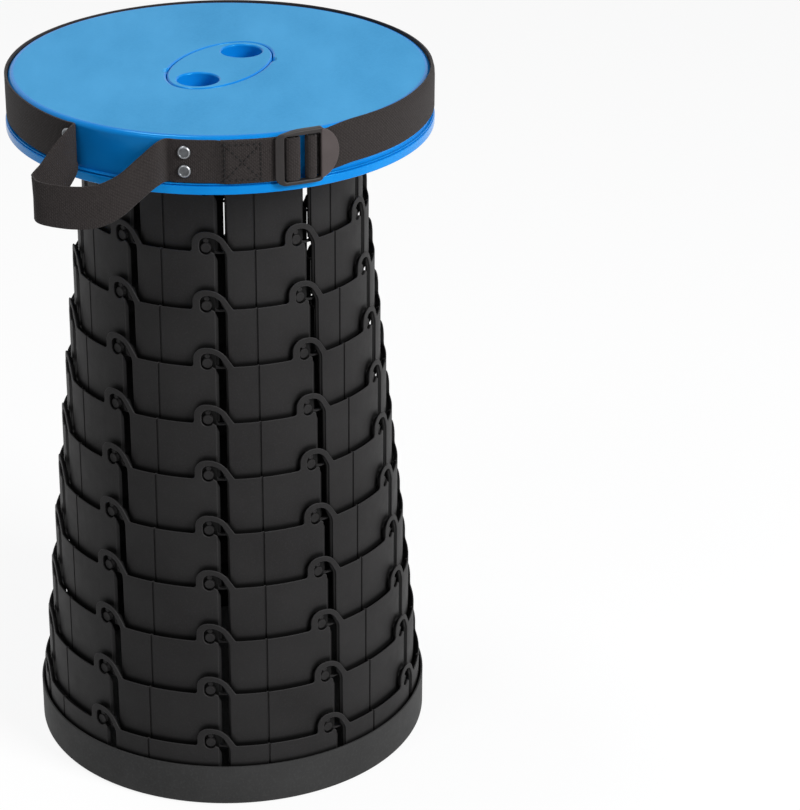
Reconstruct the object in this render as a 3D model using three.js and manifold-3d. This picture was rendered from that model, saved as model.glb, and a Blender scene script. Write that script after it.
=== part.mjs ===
// Collapsible telescopic stool: a round seat on twelve nested rings that slide into each other
// and into a shallow base pan. Millimetres, +Z up. The origin is on the floor, at the middle of the
// base. Angles round the upright axis count from the front (-Y) towards the right (+X).
import * as THREE from "three";
import { mergeVertices } from "three/addons/utils/BufferGeometryUtils.js";
import Module from "manifold-3d";

const wasm = await Module();
wasm.setup();

// Driving dimensions of the ring tower
const slidingRingCount = 10;
const lipPitch = 34.4;
const ringOverlap = 2.8;
const ringWall = 2.5;
const ringStep = 3.66;
const footRingRadius = 119.9;
const topRingHeight = 46.9;
const slotPhase = THREE.MathUtils.degToRad(2.5);
const slotsPerRing = 10;
const slotWidth = 7;

// Arch round each pin pocket, measured from the middle of the slot and from the lip of the ring
const archLeft = 16.6;
const archRight = 6.6;
const archHeight = 12.2;
const archShoulderHeight = 7;
const openingHeight = 8.5;
const openingRightHeight = 1.2;

// Locking pin at the foot of a ring, and its pocket in the next ring down
const pinRadius = 3.25;
const pinOffset = 8.7;
const pinAboveLip = 1.75;
const pinReach = 2.2;
const pinRootDepth = 0.8;

// Base pan
const baseBandWall = 2.2;
const baseBandHeight = 26.9;
const baseFloor = 2.6;
const baseEdgeRound = 2;
const keySideGap = 0.4;
const keyHeight = 9;

// Seat: when the stool is shut, its rim runs over the rings and its flange over the base band
const seatPlate = 3.5;
const rimRunningGap = 0.8;
const rimWall = 2.4;
const topEdgeRound = 3;
const flangeRunningGap = 1;
const flangeWall = 2.2;
const flangeHeight = 4.8;
const ledgeStep = 0.4;
const ledgeHeight = 1.5;
const flangeEdgeBreak = 0.5;
const collarWall = 2.5;
const collarDepth = 8;
const ribCount = 8;
const ribThickness = 2;
const ribDepth = 8;

// Oval plug with two finger holes, its long side turned from the depth axis towards the right
const plugHalfLength = 45;
const plugHalfWidth = 26;
const plugTurn = THREE.MathUtils.degToRad(23);
const plugPlate = 2.5;
const plugWall = 2;
const plugDepth = 20;
const wellWall = 2.2;
const fingerHoleRadius = 12;
const fingerHoleFromEnd = 4.6;
const cupAboveFoot = 2;
const pryNotchWidth = 6;
const pryNotchLength = 2.4;
const pryNotchDepth = 1.6;
const pryNotchPlaceShare = 0.48;

// Webbing, rivets and buckle
const strapWidth = 25;
const strapThickness = 1.6;
const strapBelowTop = 1.2;
const rivetHeadRadius = 3.5;
const rivetHeadHeight = 1.6;
const rivetShankRadius = 1.5;
const rivetTailRadius = 2.8;
const rivetTailHeight = 0.9;
const rivetSpacing = 10.8;
const rightRivetAngle = THREE.MathUtils.degToRad(-5.6);
const leftRivetAngle = THREE.MathUtils.degToRad(-38.8);
const rivetShoulderRadiusShare = 0.8;
const rivetShoulderHeightShare = 0.7;
const rimStrapEndAngle = THREE.MathUtils.degToRad(-41.4);

// Carrying loop: it stands out from the rim between a fold and the right rivets, and sags
const foldAngle = THREE.MathUtils.degToRad(-36.4);
const loopEndAngle = THREE.MathUtils.degToRad(-11);
const loopReach = 40.2;
const loopDrop = 20.5;

// Ladder buckle: a frame with a window, two bars in the window and a rounded tab on the right.
// The ends of the window are measured from the middle of the buckle.
const buckleAngle = THREE.MathUtils.degToRad(25.9);
const buckleLength = 38.6;
const buckleHeight = 33;
const buckleThickness = 4.6;
const windowStart = -13.6;
const windowEnd = 7.7;
const sewnWebbingGap = 1.1;
const barWidth = 3.2;
const barThickness = 2;
const tabThickness = 2.2;
const buckleCornerRound = 4;

// Clearances and facets
const fitGap = 0.3;
const overrun = 1;
const facetLength = 18;
const seatFacets = 40;
const ovalFacets = 24;
const topRingFacets = 30;
const pinFacets = 6;
const rivetFacets = 8;
const fingerHoleFacets = 16;
const buckleCornerFacets = 3;
const shortestFacetShare = 0.2;
const edgeMiddleShare = 1 - Math.SQRT1_2;
const weldDistance = 1e-4;

const ringHeight = lipPitch + ringOverlap;
const slidingRingFoot = (level) => baseFloor + fitGap + lipPitch * level;
const ringRadius = (level) => footRingRadius - ringStep * level;
const topRingLevel = slidingRingCount + 1;
const baseRadius = footRingRadius + fitGap + baseBandWall;
const rimInnerRadius = footRingRadius + rimRunningGap;
const rimOuterRadius = rimInnerRadius + rimWall;
const flangeInnerRadius = baseRadius + flangeRunningGap;
const flangeOuterRadius = flangeInnerRadius + flangeWall;
const ledgeRadius = flangeOuterRadius - ledgeStep;
const ceilingHeight = slidingRingFoot(topRingLevel) + topRingHeight + fitGap;
const seatTop = ceilingHeight + seatPlate;
const strapTop = seatTop - strapBelowTop;
const strapMiddle = strapTop - strapWidth / 2;
const strapBottom = strapTop - strapWidth;
const strapInnerRadius = rimOuterRadius + fitGap;
const strapOuterRadius = strapInnerRadius + strapThickness;
const flangeBottom = strapBottom - fitGap - ledgeHeight - flangeHeight;
const fullTurn = 2 * Math.PI;

// The point at an angle, a distance from the upright axis and a height
function around(angle, radius, height) {
  return new THREE.Vector3(
    radius * Math.sin(angle),
    -radius * Math.cos(angle),
    height,
  );
}

// Closed geometry to solid and back
function solid(geometry) {
  const bare = geometry.index ? geometry.toNonIndexed() : geometry.clone();
  bare.deleteAttribute("normal");
  bare.deleteAttribute("uv");
  const merged = mergeVertices(bare, weldDistance);
  return new wasm.Manifold(
    new wasm.Mesh({
      numProp: 3,
      vertProperties: merged.attributes.position.array,
      triVerts: new Uint32Array(merged.index.array),
    }),
  );
}

function geometryOf(made) {
  const mesh = made.getMesh();
  const geometry = new THREE.BufferGeometry();
  geometry.setAttribute(
    "position",
    new THREE.BufferAttribute(new Float32Array(mesh.vertProperties), 3),
  );
  geometry.setIndex(new THREE.BufferAttribute(new Uint32Array(mesh.triVerts), 1));
  const flat = geometry.toNonIndexed();
  flat.computeVertexNormals();
  return flat;
}

// A list of corner triples as a geometry
function fromTriangles(corners) {
  const geometry = new THREE.BufferGeometry();
  geometry.setFromPoints(corners);
  return geometry;
}

// A closed profile of [radius, height] points turned round the upright axis
function turned(profile, facets, phase = 0) {
  const points = profile.map(([radius, height]) => new THREE.Vector2(radius, height));
  const geometry = new THREE.LatheGeometry(points, facets);
  geometry.rotateX(Math.PI / 2);
  geometry.rotateZ(phase);
  return solid(geometry);
}

function box(width, depth, height) {
  return new THREE.BoxGeometry(width, depth, height);
}

// Turns a geometry that was made at the front of the stool round to an angle
function toAngle(geometry, angle) {
  return geometry.rotateZ(angle);
}

// Upright oval block from its foot to its top, centred on the axis, its long side turned with the plug
function ovalBlock(halfLength, halfWidth, foot, top) {
  const outline = new THREE.Shape();
  outline.absellipse(0, 0, halfWidth, halfLength, 0, fullTurn, false, 0);
  const geometry = new THREE.ExtrudeGeometry(outline, {
    depth: top - foot,
    bevelEnabled: false,
    curveSegments: ovalFacets,
  });
  geometry.rotateZ(-plugTurn);
  geometry.translate(0, 0, foot);
  return solid(geometry);
}

// A point on the long axis of the plug, or beside it
function onPlug(lengthwise, sideways, height) {
  const place = new THREE.Vector3(sideways, lengthwise, height);
  return place.applyAxisAngle(new THREE.Vector3(0, 0, 1), -plugTurn);
}

// A sheet of flat triangles, each corner an [angle, height], bent round the upright axis and given
// a thickness. Edges that only one triangle has become the rims of the wall.
function bentWall(triangles, innerRadius, outerRadius) {
  const corners = [];
  const edges = new Map();
  const turnSteps = Math.round((fullTurn * outerRadius) / weldDistance);
  const key = ([angle, height]) => {
    const turn = THREE.MathUtils.euclideanModulo(angle, fullTurn);
    const step = Math.round((turn / fullTurn) * turnSteps) % turnSteps;
    return step + "/" + Math.round(height / weldDistance);
  };
  const outer = ([angle, height]) => around(angle, outerRadius, height);
  const inner = ([angle, height]) => around(angle, innerRadius, height);
  for (const [a, b, c] of triangles) {
    corners.push(outer(a), outer(b), outer(c));
    corners.push(inner(a), inner(c), inner(b));
    for (const [from, to] of [[a, b], [b, c], [c, a]]) {
      edges.set(key(from) + ">" + key(to), [from, to]);
    }
  }
  for (const [from, to] of edges.values()) {
    if (edges.has(key(to) + ">" + key(from))) {
      continue;
    }
    corners.push(outer(to), outer(from), inner(from));
    corners.push(outer(to), inner(from), inner(to));
  }
  return solid(fromTriangles(corners));
}

// Outline of the wall beside one slot: the arch, the pin pocket and the slot below it.
// Points are [distance to the right of the slot, height above the lip], counter-clockwise.
function archOutline(foot) {
  const halfSlot = slotWidth / 2;
  const halfFacet = Math.PI / pinFacets;
  const pocketRadius = (pinRadius + fitGap) / Math.cos(halfFacet);
  const pocket = [];
  for (let turn = -halfFacet; turn > -Math.PI; turn -= 2 * halfFacet) {
    pocket.push([
      -pinOffset + pocketRadius * Math.cos(turn),
      pinAboveLip + pocketRadius * Math.sin(turn),
    ]);
  }
  return [
    [-archLeft, foot],
    [-halfSlot, foot],
    [-halfSlot, -pinRadius],
    ...pocket,
    [-pinOffset - pinRadius - fitGap, openingHeight - pinRadius],
    [-pinOffset - pinRadius / 3, openingHeight],
    [-pinOffset + pinRadius, openingHeight - fitGap],
    [halfSlot, openingRightHeight],
    [halfSlot, foot],
    [archRight, foot],
    [archRight, 0],
    [-slotWidth / 3, archHeight - pinAboveLip],
    [-pinOffset, archHeight],
    [-archLeft, archShoulderHeight],
    [-archLeft, 0],
  ];
}

// The triangles of one ring's sheet, as [angle, height] corners
function ringSheet(radius, foot) {
  const lip = foot + ringHeight;
  const sector = fullTurn / slotsPerRing;
  const outline = archOutline(-ringHeight).map(([along, up]) => new THREE.Vector2(along, up));
  const faces = THREE.ShapeUtils.triangulateShape(outline, []);
  const plainStart = archRight / radius;
  const plainEnd = sector - archLeft / radius;
  const columns = Math.ceil(((plainEnd - plainStart) * radius) / facetLength);
  const triangles = [];
  for (let copy = 0; copy < slotsPerRing; copy++) {
    const turn = slotPhase + sector * copy;
    for (const face of faces) {
      const corners = face.map((i) => [turn + outline[i].x / radius, lip + outline[i].y]);
      triangles.push(corners);
    }
    for (let column = 0; column < columns; column++) {
      const left = turn + THREE.MathUtils.lerp(plainStart, plainEnd, column / columns);
      const right = turn + THREE.MathUtils.lerp(plainStart, plainEnd, (column + 1) / columns);
      triangles.push([[left, foot], [right, foot], [right, lip]]);
      triangles.push([[left, foot], [right, lip], [left, lip]]);
    }
  }
  return triangles;
}

const pocketAngle = (level) => -pinOffset / ringRadius(level);

// The ten pins at the foot of the ring on a level, which sit in the pockets of the ring below
function addPins(wall, level) {
  const radius = ringRadius(level);
  const length = pinRootDepth + pinReach;
  let made = wall;
  for (let copy = 0; copy < slotsPerRing; copy++) {
    const pin = new THREE.CylinderGeometry(pinRadius, pinRadius, length, pinFacets);
    pin.translate(0, -(radius + pinReach - length / 2), 0);
    pin.rotateY(Math.PI / 2);
    pin.translate(0, 0, slidingRingFoot(level) + ringOverlap + pinAboveLip);
    toAngle(pin, slotPhase + pocketAngle(level - 1) + (fullTurn / slotsPerRing) * copy);
    made = made.add(solid(pin));
  }
  return made;
}

// The upright channels inside a ring, from under each pocket to its slot, in which the pins of the
// ring above run down
function cutChannels(wall, level) {
  const channelRadius = ringRadius(level + 1) + pinReach + fitGap;
  const foot = slidingRingFoot(level);
  const height = ringHeight + pinAboveLip + overrun;
  const depth = channelRadius - (ringRadius(level) - ringWall) + overrun;
  const left = -pinOffset - pinRadius - fitGap;
  const width = overrun - slotWidth / 2 - left;
  let made = wall;
  for (let copy = 0; copy < slotsPerRing; copy++) {
    const channel = box(width, depth, height);
    channel.translate(
      left + width / 2 + pinOffset,
      -(channelRadius - depth / 2),
      foot - overrun + height / 2,
    );
    toAngle(channel, slotPhase + pocketAngle(level) + (fullTurn / slotsPerRing) * copy);
    made = made.subtract(solid(channel));
  }
  return made;
}

function ring(level) {
  const radius = ringRadius(level);
  const sheet = ringSheet(radius, slidingRingFoot(level));
  let wall = bentWall(sheet, radius - ringWall, radius);
  wall = cutChannels(wall, level);
  return level > 0 ? addPins(wall, level) : wall;
}

// The ring under the seat is a plain tube with pins
function topRing() {
  const radius = ringRadius(topRingLevel);
  const foot = slidingRingFoot(topRingLevel);
  const top = foot + topRingHeight;
  const inner = radius - ringWall;
  const profile = [
    [inner, foot],
    [radius, foot],
    [radius, top],
    [inner, top],
    [inner, foot],
  ];
  return addPins(turned(profile, topRingFacets, slotPhase), topRingLevel);
}

// The pan that holds the foot ring, with a key in each of the ring's slots
function basePan() {
  const bandInner = (footRingRadius + fitGap) / Math.cos(Math.PI / seatFacets);
  const profile = [
    [0, 0],
    [baseRadius - baseEdgeRound, 0],
    [baseRadius - baseEdgeRound * edgeMiddleShare, baseEdgeRound * edgeMiddleShare],
    [baseRadius, baseEdgeRound],
    [baseRadius, baseBandHeight],
    [bandInner, baseBandHeight],
    [bandInner, baseFloor],
    [0, baseFloor],
  ];
  let pan = turned(profile, seatFacets, slotPhase);
  const keyWidth = slotWidth - 2 * keySideGap;
  const keyInner = footRingRadius - ringWall;
  const keyDepth = bandInner - keyInner + overrun;
  for (let copy = 0; copy < slotsPerRing; copy++) {
    const key = box(keyWidth, keyDepth, keyHeight + overrun);
    key.translate(0, -(keyInner + keyDepth / 2), baseFloor + (keyHeight - overrun) / 2);
    toAngle(key, slotPhase + (fullTurn / slotsPerRing) * copy);
    pan = pan.add(solid(key));
  }
  return pan;
}

// The tails of the rivets end level with the inside of the rim, so that the rings run past them
const rivetTailEnd = rimInnerRadius * Math.cos(Math.PI / seatFacets);
const rivetTailFace = rivetTailEnd + rivetTailHeight;

// Round holes at the four rivets, from one distance from the upright axis to another
function drillAtRivets(body, pieceRadius, fromRadius, toRadius) {
  const holeRadius = (pieceRadius + fitGap) / Math.cos(Math.PI / rivetFacets);
  const length = toRadius - fromRadius;
  let made = body;
  for (const angle of [leftRivetAngle, rightRivetAngle]) {
    for (const side of [-1, 1]) {
      const hole = new THREE.CylinderGeometry(holeRadius, holeRadius, length, rivetFacets);
      hole.translate(0, -(fromRadius + toRadius) / 2, strapMiddle + (side * rivetSpacing) / 2);
      made = made.subtract(solid(toAngle(hole, angle)));
    }
  }
  return made;
}

function seat() {
  const stepHeight = strapBottom - fitGap - ledgeHeight;
  const ledgeTop = strapBottom - fitGap;
  const profile = [
    [0, ceilingHeight],
    [rimInnerRadius, ceilingHeight],
    [rimInnerRadius, stepHeight],
    [flangeInnerRadius, stepHeight],
    [flangeInnerRadius, flangeBottom],
    [flangeOuterRadius - flangeEdgeBreak, flangeBottom],
    [flangeOuterRadius, flangeBottom + flangeEdgeBreak],
    [flangeOuterRadius, stepHeight],
    [ledgeRadius, stepHeight + flangeEdgeBreak],
    [ledgeRadius, ledgeTop],
    [rimOuterRadius, ledgeTop],
    [rimOuterRadius, seatTop - topEdgeRound],
    [rimOuterRadius - topEdgeRound * edgeMiddleShare, seatTop - topEdgeRound * edgeMiddleShare],
    [rimOuterRadius - topEdgeRound, seatTop],
    [0, seatTop],
  ];
  let made = turned(profile, seatFacets);

  const topRingInner = ringRadius(topRingLevel) - ringWall;
  const collarOuter = topRingInner * Math.cos(Math.PI / topRingFacets) - fitGap;
  const collarFoot = ceilingHeight - collarDepth;
  const collarTop = ceilingHeight + overrun;
  const collar = turned(
    [
      [collarOuter - collarWall, collarFoot],
      [collarOuter, collarFoot],
      [collarOuter, collarTop],
      [collarOuter - collarWall, collarTop],
      [collarOuter - collarWall, collarFoot],
    ],
    seatFacets,
  );
  made = made.add(collar);

  for (let rib = 0; rib < ribCount; rib++) {
    const length = collarOuter - collarWall / 2;
    const bar = box(ribThickness, length, ribDepth + overrun);
    bar.translate(0, -length / 2, ceilingHeight + (overrun - ribDepth) / 2);
    made = made.add(solid(toAngle(bar, (fullTurn / ribCount) * (rib + 1 / 2))));
  }

  const wellFloor = seatTop - plugDepth - fitGap;
  const wellFoot = wellFloor - wellWall;
  const wellLength = plugHalfLength + fitGap;
  const wellWidth = plugHalfWidth + fitGap;
  const boss = ovalBlock(wellLength + wellWall, wellWidth + wellWall, wellFoot, collarTop);
  const well = ovalBlock(wellLength, wellWidth, wellFloor, seatTop + overrun);
  made = made.add(boss).subtract(well);

  for (const side of [-1, 1]) {
    const notch = box(pryNotchWidth, 2 * pryNotchLength, 2 * pryNotchDepth);
    const lengthwise = wellLength * pryNotchPlaceShare;
    const sideways = wellWidth * Math.sqrt(1 - pryNotchPlaceShare ** 2);
    const place = onPlug(side * lengthwise, side * sideways, seatTop);
    notch.rotateZ(Math.atan2(place.y, place.x) + Math.PI / 2);
    notch.translate(place.x, place.y, place.z);
    made = made.subtract(solid(notch));
  }
  const holeStart = rivetTailEnd - overrun;
  made = drillAtRivets(made, rivetTailRadius, holeStart, rivetTailFace + fitGap);
  return drillAtRivets(made, rivetShankRadius, holeStart, rimOuterRadius + overrun);
}

// The oval insert: a plate with a skirt and two cups that are closed below
function seatPlug() {
  const foot = seatTop - plugDepth;
  const hollowTop = seatTop - plugPlate;
  let made = ovalBlock(plugHalfLength, plugHalfWidth, foot, seatTop);
  const hollow = ovalBlock(
    plugHalfLength - plugWall,
    plugHalfWidth - plugWall,
    foot - overrun,
    hollowTop,
  );
  made = made.subtract(hollow);
  for (const side of [-1, 1]) {
    const fromMiddle = plugHalfLength - fingerHoleFromEnd - fingerHoleRadius;
    const place = onPlug(side * fromMiddle, 0, 0);
    const cupFoot = foot + cupAboveFoot;
    const cupHeight = hollowTop + plugPlate / 2 - cupFoot;
    const cupRadius = fingerHoleRadius + plugWall;
    const cup = new THREE.CylinderGeometry(cupRadius, cupRadius, cupHeight, fingerHoleFacets);
    cup.rotateX(Math.PI / 2);
    cup.translate(place.x, place.y, cupFoot + cupHeight / 2);
    made = made.add(solid(cup));
    const holeDepth = plugDepth - cupAboveFoot - plugWall + overrun;
    const hole = new THREE.CylinderGeometry(
      fingerHoleRadius,
      fingerHoleRadius,
      holeDepth,
      fingerHoleFacets,
    );
    hole.rotateX(Math.PI / 2);
    hole.translate(place.x, place.y, seatTop + overrun - holeDepth / 2);
    made = made.subtract(solid(hole));
  }
  return made;
}

// Webbing whose middle runs through a list of points, its width upright all the way
function webbing(middles) {
  const heading = (from, to) => to.clone().sub(from).setZ(0).normalize();
  const last = middles.length - 1;
  const corners = middles.map((middle, i) => {
    const before = heading(middles[Math.max(i - 1, 0)], middles[Math.max(i, 1)]);
    const after = heading(middles[Math.min(i, last - 1)], middles[Math.min(i + 1, last)]);
    const ahead = before.clone().add(after).normalize();
    const through = new THREE.Vector3(ahead.y, -ahead.x, 0);
    through.multiplyScalar(strapThickness / 2 / Math.max(ahead.dot(before), 1 / 2));
    const at = (side, face) => {
      const corner = middle.clone().addScaledVector(through, face);
      corner.z += (side * strapWidth) / 2;
      return corner;
    };
    return [at(-1, 1), at(1, 1), at(1, -1), at(-1, -1)];
  });
  const triangles = [];
  const quad = (a, b, c, d) => triangles.push(a, b, c, a, c, d);
  for (let i = 1; i < corners.length; i++) {
    const back = corners[i - 1];
    const front = corners[i];
    for (let side = 0; side < 4; side++) {
      const next = (side + 1) % 4;
      quad(back[side], front[side], front[next], back[next]);
    }
  }
  quad(...corners[0]);
  quad(...corners[last].slice().reverse());
  return solid(fromTriangles(triangles));
}

// The middle of the webbing at an angle, lying on the flat facet of the rim
function onRim(angle) {
  const facet = fullTurn / seatFacets;
  const offMiddle = angle - facet * (Math.floor(angle / facet) + 1 / 2);
  const middleRadius = (strapInnerRadius + strapOuterRadius) / 2;
  const radius = (middleRadius * Math.cos(facet / 2)) / Math.cos(offMiddle);
  return around(angle, radius, strapMiddle);
}

// Points along the rim between two angles, one at each edge between its facets
function alongRim(fromAngle, toAngle) {
  const facet = fullTurn / seatFacets;
  const points = [onRim(fromAngle)];
  const firstEdge = Math.ceil(fromAngle / facet + shortestFacetShare);
  const lastEdge = Math.floor(toAngle / facet - shortestFacetShare);
  for (let edge = firstEdge; edge <= lastEdge; edge++) {
    points.push(onRim(edge * facet));
  }
  points.push(onRim(toAngle));
  return points;
}

// A point beside the middle of the buckle, at a distance from the upright axis
function atBuckle(along, outward) {
  const point = new THREE.Vector3(along, -outward, strapMiddle);
  return point.applyAxisAngle(new THREE.Vector3(0, 0, 1), buckleAngle);
}

const buckleBack = Math.max(flangeOuterRadius, strapOuterRadius) + fitGap;
const bridgeRadius = buckleBack + barThickness + fitGap + strapThickness / 2;
const bridgeReach = barWidth / 2 + fitGap + strapThickness / 2;
const sewnBarPlace = windowStart + sewnWebbingGap + strapThickness / 2 + bridgeReach;
const threadedBarPlace = windowEnd - fitGap - strapThickness / 2 - bridgeReach;
const tuckedRadius = (strapInnerRadius + strapOuterRadius) / 2 + fitGap;
const alongToAngle = (along) => buckleAngle + along / strapOuterRadius;

// The webbing that lies on the rim, from the buckle's threaded bar round the back to the left rivets
function rimStrap() {
  const rimEnd = fullTurn + rimStrapEndAngle - fitGap / strapOuterRadius;
  return webbing([
    atBuckle(threadedBarPlace - bridgeReach, buckleBack),
    atBuckle(threadedBarPlace - bridgeReach, bridgeRadius),
    atBuckle(threadedBarPlace + bridgeReach, bridgeRadius),
    atBuckle(threadedBarPlace + bridgeReach, tuckedRadius),
    ...alongRim(alongToAngle(windowEnd + tabThickness), rimEnd),
  ]);
}

// The route of the carrying loop. Each point is a share of the way from the fold to where the loop
// comes back to the rim, a share of its reach beyond the rim and a share of its greatest drop.
const loopRouteShares = [
  [0.012, 0.094, 0],
  [0.0425, 0.31, 0.244],
  [0.043, 0.586, 0.634],
  [0.0315, 0.808, 0.878],
  [0.043, 0.94, 0.927],
  [0.102, 1, 0.951],
  [0.198, 0.972, 0.976],
  [0.369, 0.853, 1],
  [0.539, 0.713, 0.878],
  [0.696, 0.551, 0.61],
  [0.841, 0.362, 0.244],
  [0.961, 0.201, 0.039],
];

// The webbing from the left rivets over the carrying loop and the right rivets to the buckle
function handleLoop() {
  const rimRadius = (strapInnerRadius + strapOuterRadius) / 2;
  const loop = loopRouteShares.map(([wayShare, reachShare, dropShare]) =>
    around(
      THREE.MathUtils.lerp(foldAngle, loopEndAngle, wayShare),
      rimRadius + loopReach * reachShare,
      strapMiddle - loopDrop * dropShare,
    ),
  );
  const whole = webbing([
    ...alongRim(rimStrapEndAngle, foldAngle),
    ...loop,
    ...alongRim(loopEndAngle, alongToAngle(windowStart - strapThickness)),
    atBuckle(sewnBarPlace - bridgeReach, tuckedRadius),
    atBuckle(sewnBarPlace - bridgeReach, bridgeRadius),
    atBuckle(sewnBarPlace + bridgeReach, bridgeRadius),
    atBuckle(sewnBarPlace + bridgeReach, buckleBack),
  ]);
  const holeStart = rimOuterRadius - overrun;
  return drillAtRivets(whole, rivetShankRadius, holeStart, strapOuterRadius + overrun);
}

// Solid plate from an outline of [along the buckle, up], between two distances from the axis
function bucklePlate(outline, back, front) {
  const geometry = new THREE.ExtrudeGeometry(outline, {
    depth: front - back,
    bevelEnabled: false,
    curveSegments: buckleCornerFacets,
  });
  geometry.rotateX(Math.PI / 2);
  geometry.translate(0, -back, strapMiddle);
  return solid(toAngle(geometry, buckleAngle));
}

function rectangle(left, right, bottom, top) {
  const outline = new THREE.Shape();
  outline.moveTo(left, bottom);
  outline.lineTo(right, bottom);
  outline.lineTo(right, top);
  outline.lineTo(left, top);
  outline.closePath();
  return outline;
}

function buckle() {
  const left = -buckleLength / 2;
  const halfHeight = buckleHeight / 2;
  const front = buckleBack + buckleThickness;
  const frameRight = windowEnd + tabThickness;
  const round = buckleCornerRound;
  const frame = new THREE.Shape();
  frame.moveTo(frameRight, halfHeight);
  frame.lineTo(left + round, halfHeight);
  frame.absarc(left + round, halfHeight - round, round, Math.PI / 2, Math.PI, false);
  frame.absarc(left + round, round - halfHeight, round, Math.PI, Math.PI * 1.5, false);
  frame.lineTo(frameRight, -halfHeight);
  frame.closePath();
  const windowHalf = strapWidth / 2 + fitGap;
  frame.holes.push(rectangle(windowStart, windowEnd, -windowHalf, windowHalf));
  let made = bucklePlate(frame, buckleBack, front);

  const tab = new THREE.Shape();
  tab.moveTo(windowEnd + overrun, halfHeight);
  tab.lineTo(windowEnd + overrun, -halfHeight);
  const tabLength = buckleLength / 2 - frameRight;
  tab.lineTo(frameRight, -halfHeight);
  tab.absellipse(frameRight, 0, tabLength, halfHeight, -Math.PI / 2, Math.PI / 2, false, 0);
  tab.closePath();
  made = made.add(bucklePlate(tab, front - tabThickness, front));

  for (const along of [sewnBarPlace, threadedBarPlace]) {
    const reach = windowHalf + overrun;
    const bar = rectangle(along - barWidth / 2, along + barWidth / 2, -reach, reach);
    made = made.add(bucklePlate(bar, buckleBack, buckleBack + barThickness));
  }
  return made;
}

// Rivet with a domed head outside the webbing and a flat tail sunk in the inside of the rim
function rivet(angle, side) {
  const headBase = strapOuterRadius + fitGap;
  const profile = [
    [0, rivetTailEnd],
    [rivetTailRadius, rivetTailEnd],
    [rivetTailRadius, rivetTailFace],
    [rivetShankRadius, rivetTailFace],
    [rivetShankRadius, headBase],
    [rivetHeadRadius, headBase],
    [
      rivetHeadRadius * rivetShoulderRadiusShare,
      headBase + rivetHeadHeight * rivetShoulderHeightShare,
    ],
    [0, headBase + rivetHeadHeight],
  ];
  const points = profile.map(([radius, out]) => new THREE.Vector2(radius, out));
  const geometry = new THREE.LatheGeometry(points, rivetFacets);
  geometry.rotateX(Math.PI);
  geometry.translate(0, 0, strapMiddle + (side * rivetSpacing) / 2);
  return solid(toAngle(geometry, angle));
}

const group = new THREE.Group();
group.name = "telescopic_stool";

const ringPlastic = { color: 0x2a2929, roughness: 0.62, metalness: 0 };
const basePlastic = { color: 0x3a3a3a, roughness: 0.7, metalness: 0 };
const seatPlastic = { color: 0x1f86d6, roughness: 0.4, metalness: 0 };
const bucklePlastic = { color: 0x3d3938, roughness: 0.5, metalness: 0 };
const webbingFinish = { color: 0x332e2d, roughness: 0.95, metalness: 0 };
const rivetSteel = { color: 0x8d9192, roughness: 0.35, metalness: 0.9 };

function place(name, made, finish) {
  const mesh = new THREE.Mesh(geometryOf(made), new THREE.MeshStandardMaterial(finish));
  mesh.name = name;
  group.add(mesh);
}

place("base_pan", basePan(), basePlastic);
place("foot_ring", ring(0), ringPlastic);
for (let level = 1; level <= slidingRingCount; level++) {
  place("sliding_ring_" + String(level).padStart(2, "0"), ring(level), ringPlastic);
}
place("top_ring", topRing(), ringPlastic);
place("seat", seat(), seatPlastic);
place("seat_plug", seatPlug(), seatPlastic);
place("rim_strap", rimStrap(), webbingFinish);
place("handle_loop", handleLoop(), webbingFinish);
place("buckle", buckle(), bucklePlastic);
for (const [sideName, angle] of [["left", leftRivetAngle], ["right", rightRivetAngle]]) {
  place("rivet_" + sideName + "_upper", rivet(angle, 1), rivetSteel);
  place("rivet_" + sideName + "_lower", rivet(angle, -1), rivetSteel);
}

export default group;
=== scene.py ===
# %% [markdown]
# # A collapsible telescopic stool
#
# The stool is a tower of twelve plastic rings. Each ring slides down inside the one below it, so
# the whole stool shuts to a flat drum. A blue seat closes the top, a shallow pan closes the
# bottom, and a strap of webbing runs round the rim of the seat and stands out as a carrying loop.
#
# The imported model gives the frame: where every piece is and which body carries it. This lesson
# builds the finished look on that frame. The first lines load it and keep its box, so that the
# finished stool can be measured against it at the end.

# %% Load the frame and keep its box
import math

import bmesh
import bpy
import numpy as np
from mathutils import Matrix, Vector
from mathutils.geometry import delaunay_2d_cdt


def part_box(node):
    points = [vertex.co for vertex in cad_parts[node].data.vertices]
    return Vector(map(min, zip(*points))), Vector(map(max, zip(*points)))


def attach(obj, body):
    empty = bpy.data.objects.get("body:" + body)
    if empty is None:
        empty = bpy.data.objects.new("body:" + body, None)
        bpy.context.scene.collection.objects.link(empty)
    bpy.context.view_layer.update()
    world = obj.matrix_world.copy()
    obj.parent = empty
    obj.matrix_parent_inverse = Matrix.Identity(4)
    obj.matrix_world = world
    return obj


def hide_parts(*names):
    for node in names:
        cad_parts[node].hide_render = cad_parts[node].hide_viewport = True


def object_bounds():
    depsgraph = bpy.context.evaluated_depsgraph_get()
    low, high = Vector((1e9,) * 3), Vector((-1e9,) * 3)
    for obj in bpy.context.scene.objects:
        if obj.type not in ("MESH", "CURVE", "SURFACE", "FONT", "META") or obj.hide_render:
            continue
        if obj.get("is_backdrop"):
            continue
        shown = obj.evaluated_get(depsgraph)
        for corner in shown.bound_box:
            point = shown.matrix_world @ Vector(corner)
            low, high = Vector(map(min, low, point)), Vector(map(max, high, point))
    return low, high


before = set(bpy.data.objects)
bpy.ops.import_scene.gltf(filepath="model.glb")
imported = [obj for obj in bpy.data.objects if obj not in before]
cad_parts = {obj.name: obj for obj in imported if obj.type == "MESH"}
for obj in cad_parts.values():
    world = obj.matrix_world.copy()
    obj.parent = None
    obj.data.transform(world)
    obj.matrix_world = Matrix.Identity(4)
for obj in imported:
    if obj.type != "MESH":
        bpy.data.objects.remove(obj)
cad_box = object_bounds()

MM = 0.001
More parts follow.
